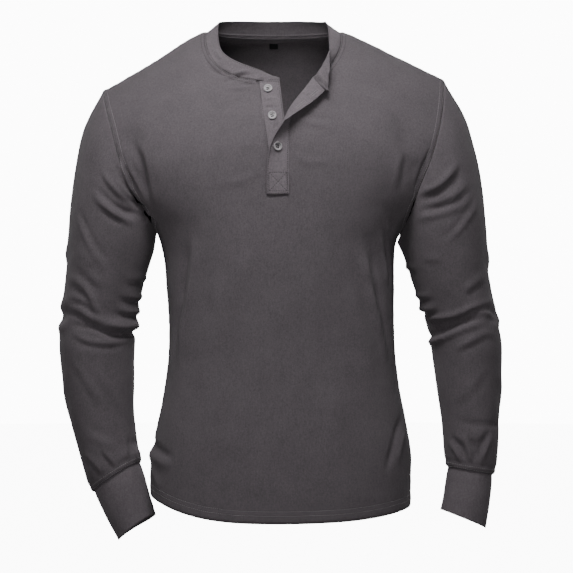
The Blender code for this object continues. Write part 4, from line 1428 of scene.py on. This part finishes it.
def turned_button(sizes):
    """A round button: a fat rim, a shallow dish and four holes, its face towards +Z."""
    radius = sizes.width / 2
    button = added(bpy.ops.mesh.primitive_cylinder_add, vertices=40, radius=radius,
                   depth=sizes.thickness, end_fill_type="NGON")

    def face_up(polygon):
        return polygon.normal.z > STRAIGHT and polygon.center.xy.length < FLAT_MIDDLE

    def sink():
        for inward, down in DISH:
            bpy.ops.mesh.inset(thickness=radius * inward)
            if down:
                bpy.ops.transform.translate(value=(0, 0, -down * sizes.thickness))

    edit_faces(button, face_up, sink)
    apply(button, "BEVEL", width=EDGE_ROUNDING, segments=3, limit_method="ANGLE",
          angle_limit=math.radians(40))
    for turn in range(4):
        angle = math.radians(45 + 90 * turn)
        place = (math.cos(angle) * sizes.spread, math.sin(angle) * sizes.spread, 0)
        drill = added(bpy.ops.mesh.primitive_cylinder_add, vertices=20, radius=sizes.hole / 2,
                      depth=DRILL, location=place)
        apply(button, "BOOLEAN", object=drill, operation="DIFFERENCE", solver="EXACT")
        bpy.data.objects.remove(drill)
    only(button)
    bpy.ops.object.shade_smooth_by_angle(angle=math.radians(35))
    return button


def node_axis(name):
    """A flat round node's middle and its outward axis."""
    points = as_array(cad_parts[name].data)
    middle = (points.min(axis=0) + points.max(axis=0)) / 2
    corners = np.unique(points.round(6), axis=0)
    _, _, axes = np.linalg.svd(corners - middle, full_matrices=False)
    out = Vector(axes[2])
    return Vector(middle), -out if out.y > 0 else out


class HENLEY_OT_buttons(bpy.types.Operator):
    """Turn one four-hole button, copy it to its places and sew each on"""
    bl_idname = "henley.buttons"
    bl_label = "Buttons"

    def execute(self, context):
        sizes = context.scene.henley_button
        finish = shared_finish(button_finish, "grey resin", sizes.colour)
        pattern = turned_button(sizes)
        names = sorted(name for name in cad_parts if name.startswith("button"))
        for name, tilt in zip(names, BUTTON_TILTS):
            middle, out = node_axis(name)
            turn = out.to_track_quat("Z", "Y").to_matrix().to_4x4()
            place = (Matrix.Translation(middle) @ turn
                     @ Matrix.Rotation(math.radians(tilt), 4, "Z"))
            mesh = pattern.data.copy()
            mesh.transform(place)
            mesh.materials.clear()
            mesh.materials.append(finish)
            button = put(name + "_turned", mesh)
            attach(button, "root")
            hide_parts(name)
            self.sew_on(name, place, sizes)
        bpy.data.objects.remove(pattern)
        return {"FINISHED"}

    def sew_on(self, name, place, sizes):
        """Two double bars of thread from hole to hole."""
        points, polygons = stitch_mesh(sizes.spread * BAR_LENGTH, BAR_THREAD)
        middle = sizes.spread * HOLE_SHARE
        bars = [points + np.array([0, side * middle + lane, sizes.thickness * BAR_HEIGHT])
                for side in (-1, 1) for lane in (-BAR_LANE, BAR_LANE)]
        # painted shade: the near-black thread darkens the button's dish and holes
        thread = bpy.data.materials["dark thread"]
        joined_copies(name + "_thread", bars, polygons, thread, place)


# Soft boxes: place and target in metres, size across and up, share of the key's power,
# and the angle they spread over
Lamp = namedtuple("Lamp", "name place target size share spread")
LAMPS = [
    Lamp("key", (-0.06, -0.62, 0.55), (0.0, -0.02, -0.10), (0.5, 0.3), 1.0, 120),
    Lamp("side right", (-1.5, -0.60, 0.15), (-0.20, 0.0, -0.3), (0.3, 0.6), 0.17, 90),
    Lamp("side left", (1.5, -0.50, 0.15), (0.20, 0.0, -0.3), (0.3, 0.6), 0.13, 90),
    Lamp("low front", (-0.1, -2.3, -0.75), (0.0, 0.0, -0.62), (0.9, 0.5), 0.44, 60),
    Lamp("back", (0.06, 0.80, 0.45), (0.0, 0.05, -0.14), (0.5, 0.3), 0.85, 120),
    Lamp("back low", (0.1, 2.3, -0.75), (0.0, 0.0, -0.62), (0.9, 0.5), 0.40, 60),
    Lamp("back right", (-1.5, 1.3, 0.1), (-0.2, 0.0, -0.35), (0.5, 0.9), 0.30, 70),
    Lamp("back left", (1.5, 1.3, 0.1), (0.2, 0.0, -0.35), (0.5, 0.9), 0.30, 70),
]
FLOOR_RADIUS, FLOOR_HEIGHT = 6.0, -0.95
CAMERA_ACROSS, CAMERA_HEIGHT = 18.8 * MM, -0.356
SENSOR = 36                   # mm


class HENLEY_OT_stage(bpy.types.Operator):
    """Set the pale floor, the soft lights and the camera"""
    bl_idname = "henley.stage"
    bl_label = "Stage"

    def execute(self, context):
        sizes = context.scene.henley_stage
        self.floor(sizes)
        self.world(context, sizes)
        for row in LAMPS:
            self.lamp(row, sizes.key)
        self.camera(context, sizes)
        return {"FINISHED"}

    def floor(self, sizes):
        floor = added(bpy.ops.mesh.primitive_circle_add, vertices=96, radius=FLOOR_RADIUS,
                      fill_type="NGON", location=(0, 0, FLOOR_HEIGHT))
        floor.name = "floor"
        bpy.ops.object.transform_apply(location=True, rotation=True, scale=True)
        floor.data.materials.append(shared_finish(floor_finish, "pale floor", sizes.ground))
        floor.visible_diffuse = False
        floor.visible_glossy = False

    def world(self, context, sizes):
        """White all round: bright where it is seen, and a faint light on the cloth."""
        world = bpy.data.worlds.new("studio")
        world.use_nodes = True
        context.scene.world = world
        background = world.node_tree.nodes["Background"]
        background.inputs["Color"].default_value = (1, 1, 1, 1)
        seen = Wire.make(world.node_tree, "ShaderNodeLightPath", {}, {})
        (seen * (sizes.ground - sizes.fill) + sizes.fill).into(background, "Strength")

    def lamp(self, row, key):
        light = bpy.data.lights.new(row.name, "AREA")
        light.shape = "RECTANGLE"
        light.size, light.size_y = row.size
        light.energy = key * row.share
        light.spread = math.radians(row.spread)
        lamp = put(row.name, light)
        lamp.location = row.place
        aim = Vector(row.target) - Vector(row.place)
        lamp.rotation_euler = aim.to_track_quat("-Z", "Y").to_euler()

    def camera(self, context, sizes):
        data = bpy.data.cameras.new("camera")
        data.sensor_width = SENSOR
        data.lens = SENSOR * sizes.distance / sizes.view
        data.clip_start, data.clip_end = 0.05, 50
        camera = put("camera", data)
        camera.location = (CAMERA_ACROSS, -sizes.distance, CAMERA_HEIGHT)
        camera.rotation_euler = (math.pi / 2, 0, 0)
        context.scene.camera = camera


class HENLEY_PT_panel(bpy.types.Panel):
    """Sizes, colours and steps of the henley"""
    bl_label = "Henley"
    bl_idname = "HENLEY_PT_panel"
    bl_space_type = "VIEW_3D"
    bl_region_type = "UI"
    bl_category = "Henley"

    def draw(self, context):
        for name in GROUPS:
            for key in getattr(context.scene, name).__annotations__:
                self.layout.prop(getattr(context.scene, name), key)
        for operator in STEPS:
            self.layout.operator(operator.bl_idname)


GROUPS = {
    "henley_cloth": ClothSizes,
    "henley_stitch": StitchSizes,
    "henley_button": ButtonSizes,
    "henley_stage": StageSizes,
}
STEPS = [HENLEY_OT_body, HENLEY_OT_sleeves, HENLEY_OT_bands, HENLEY_OT_placket,
         HENLEY_OT_trims, HENLEY_OT_stitching, HENLEY_OT_buttons, HENLEY_OT_stage]


def register():
    for kind in list(GROUPS.values()) + STEPS + [HENLEY_PT_panel]:
        bpy.utils.register_class(kind)
    for name, kind in GROUPS.items():
        setattr(bpy.types.Scene, name, PointerProperty(type=kind))


def unregister():
    for name in GROUPS:
        delattr(bpy.types.Scene, name)
    for kind in reversed(list(GROUPS.values()) + STEPS + [HENLEY_PT_panel]):
        bpy.utils.unregister_class(kind)


def main():
    register()
    for step in STEPS:
        part, name = step.bl_idname.split(".")
        getattr(getattr(bpy.ops, part), name)()


if __name__ == "__main__":
    main()
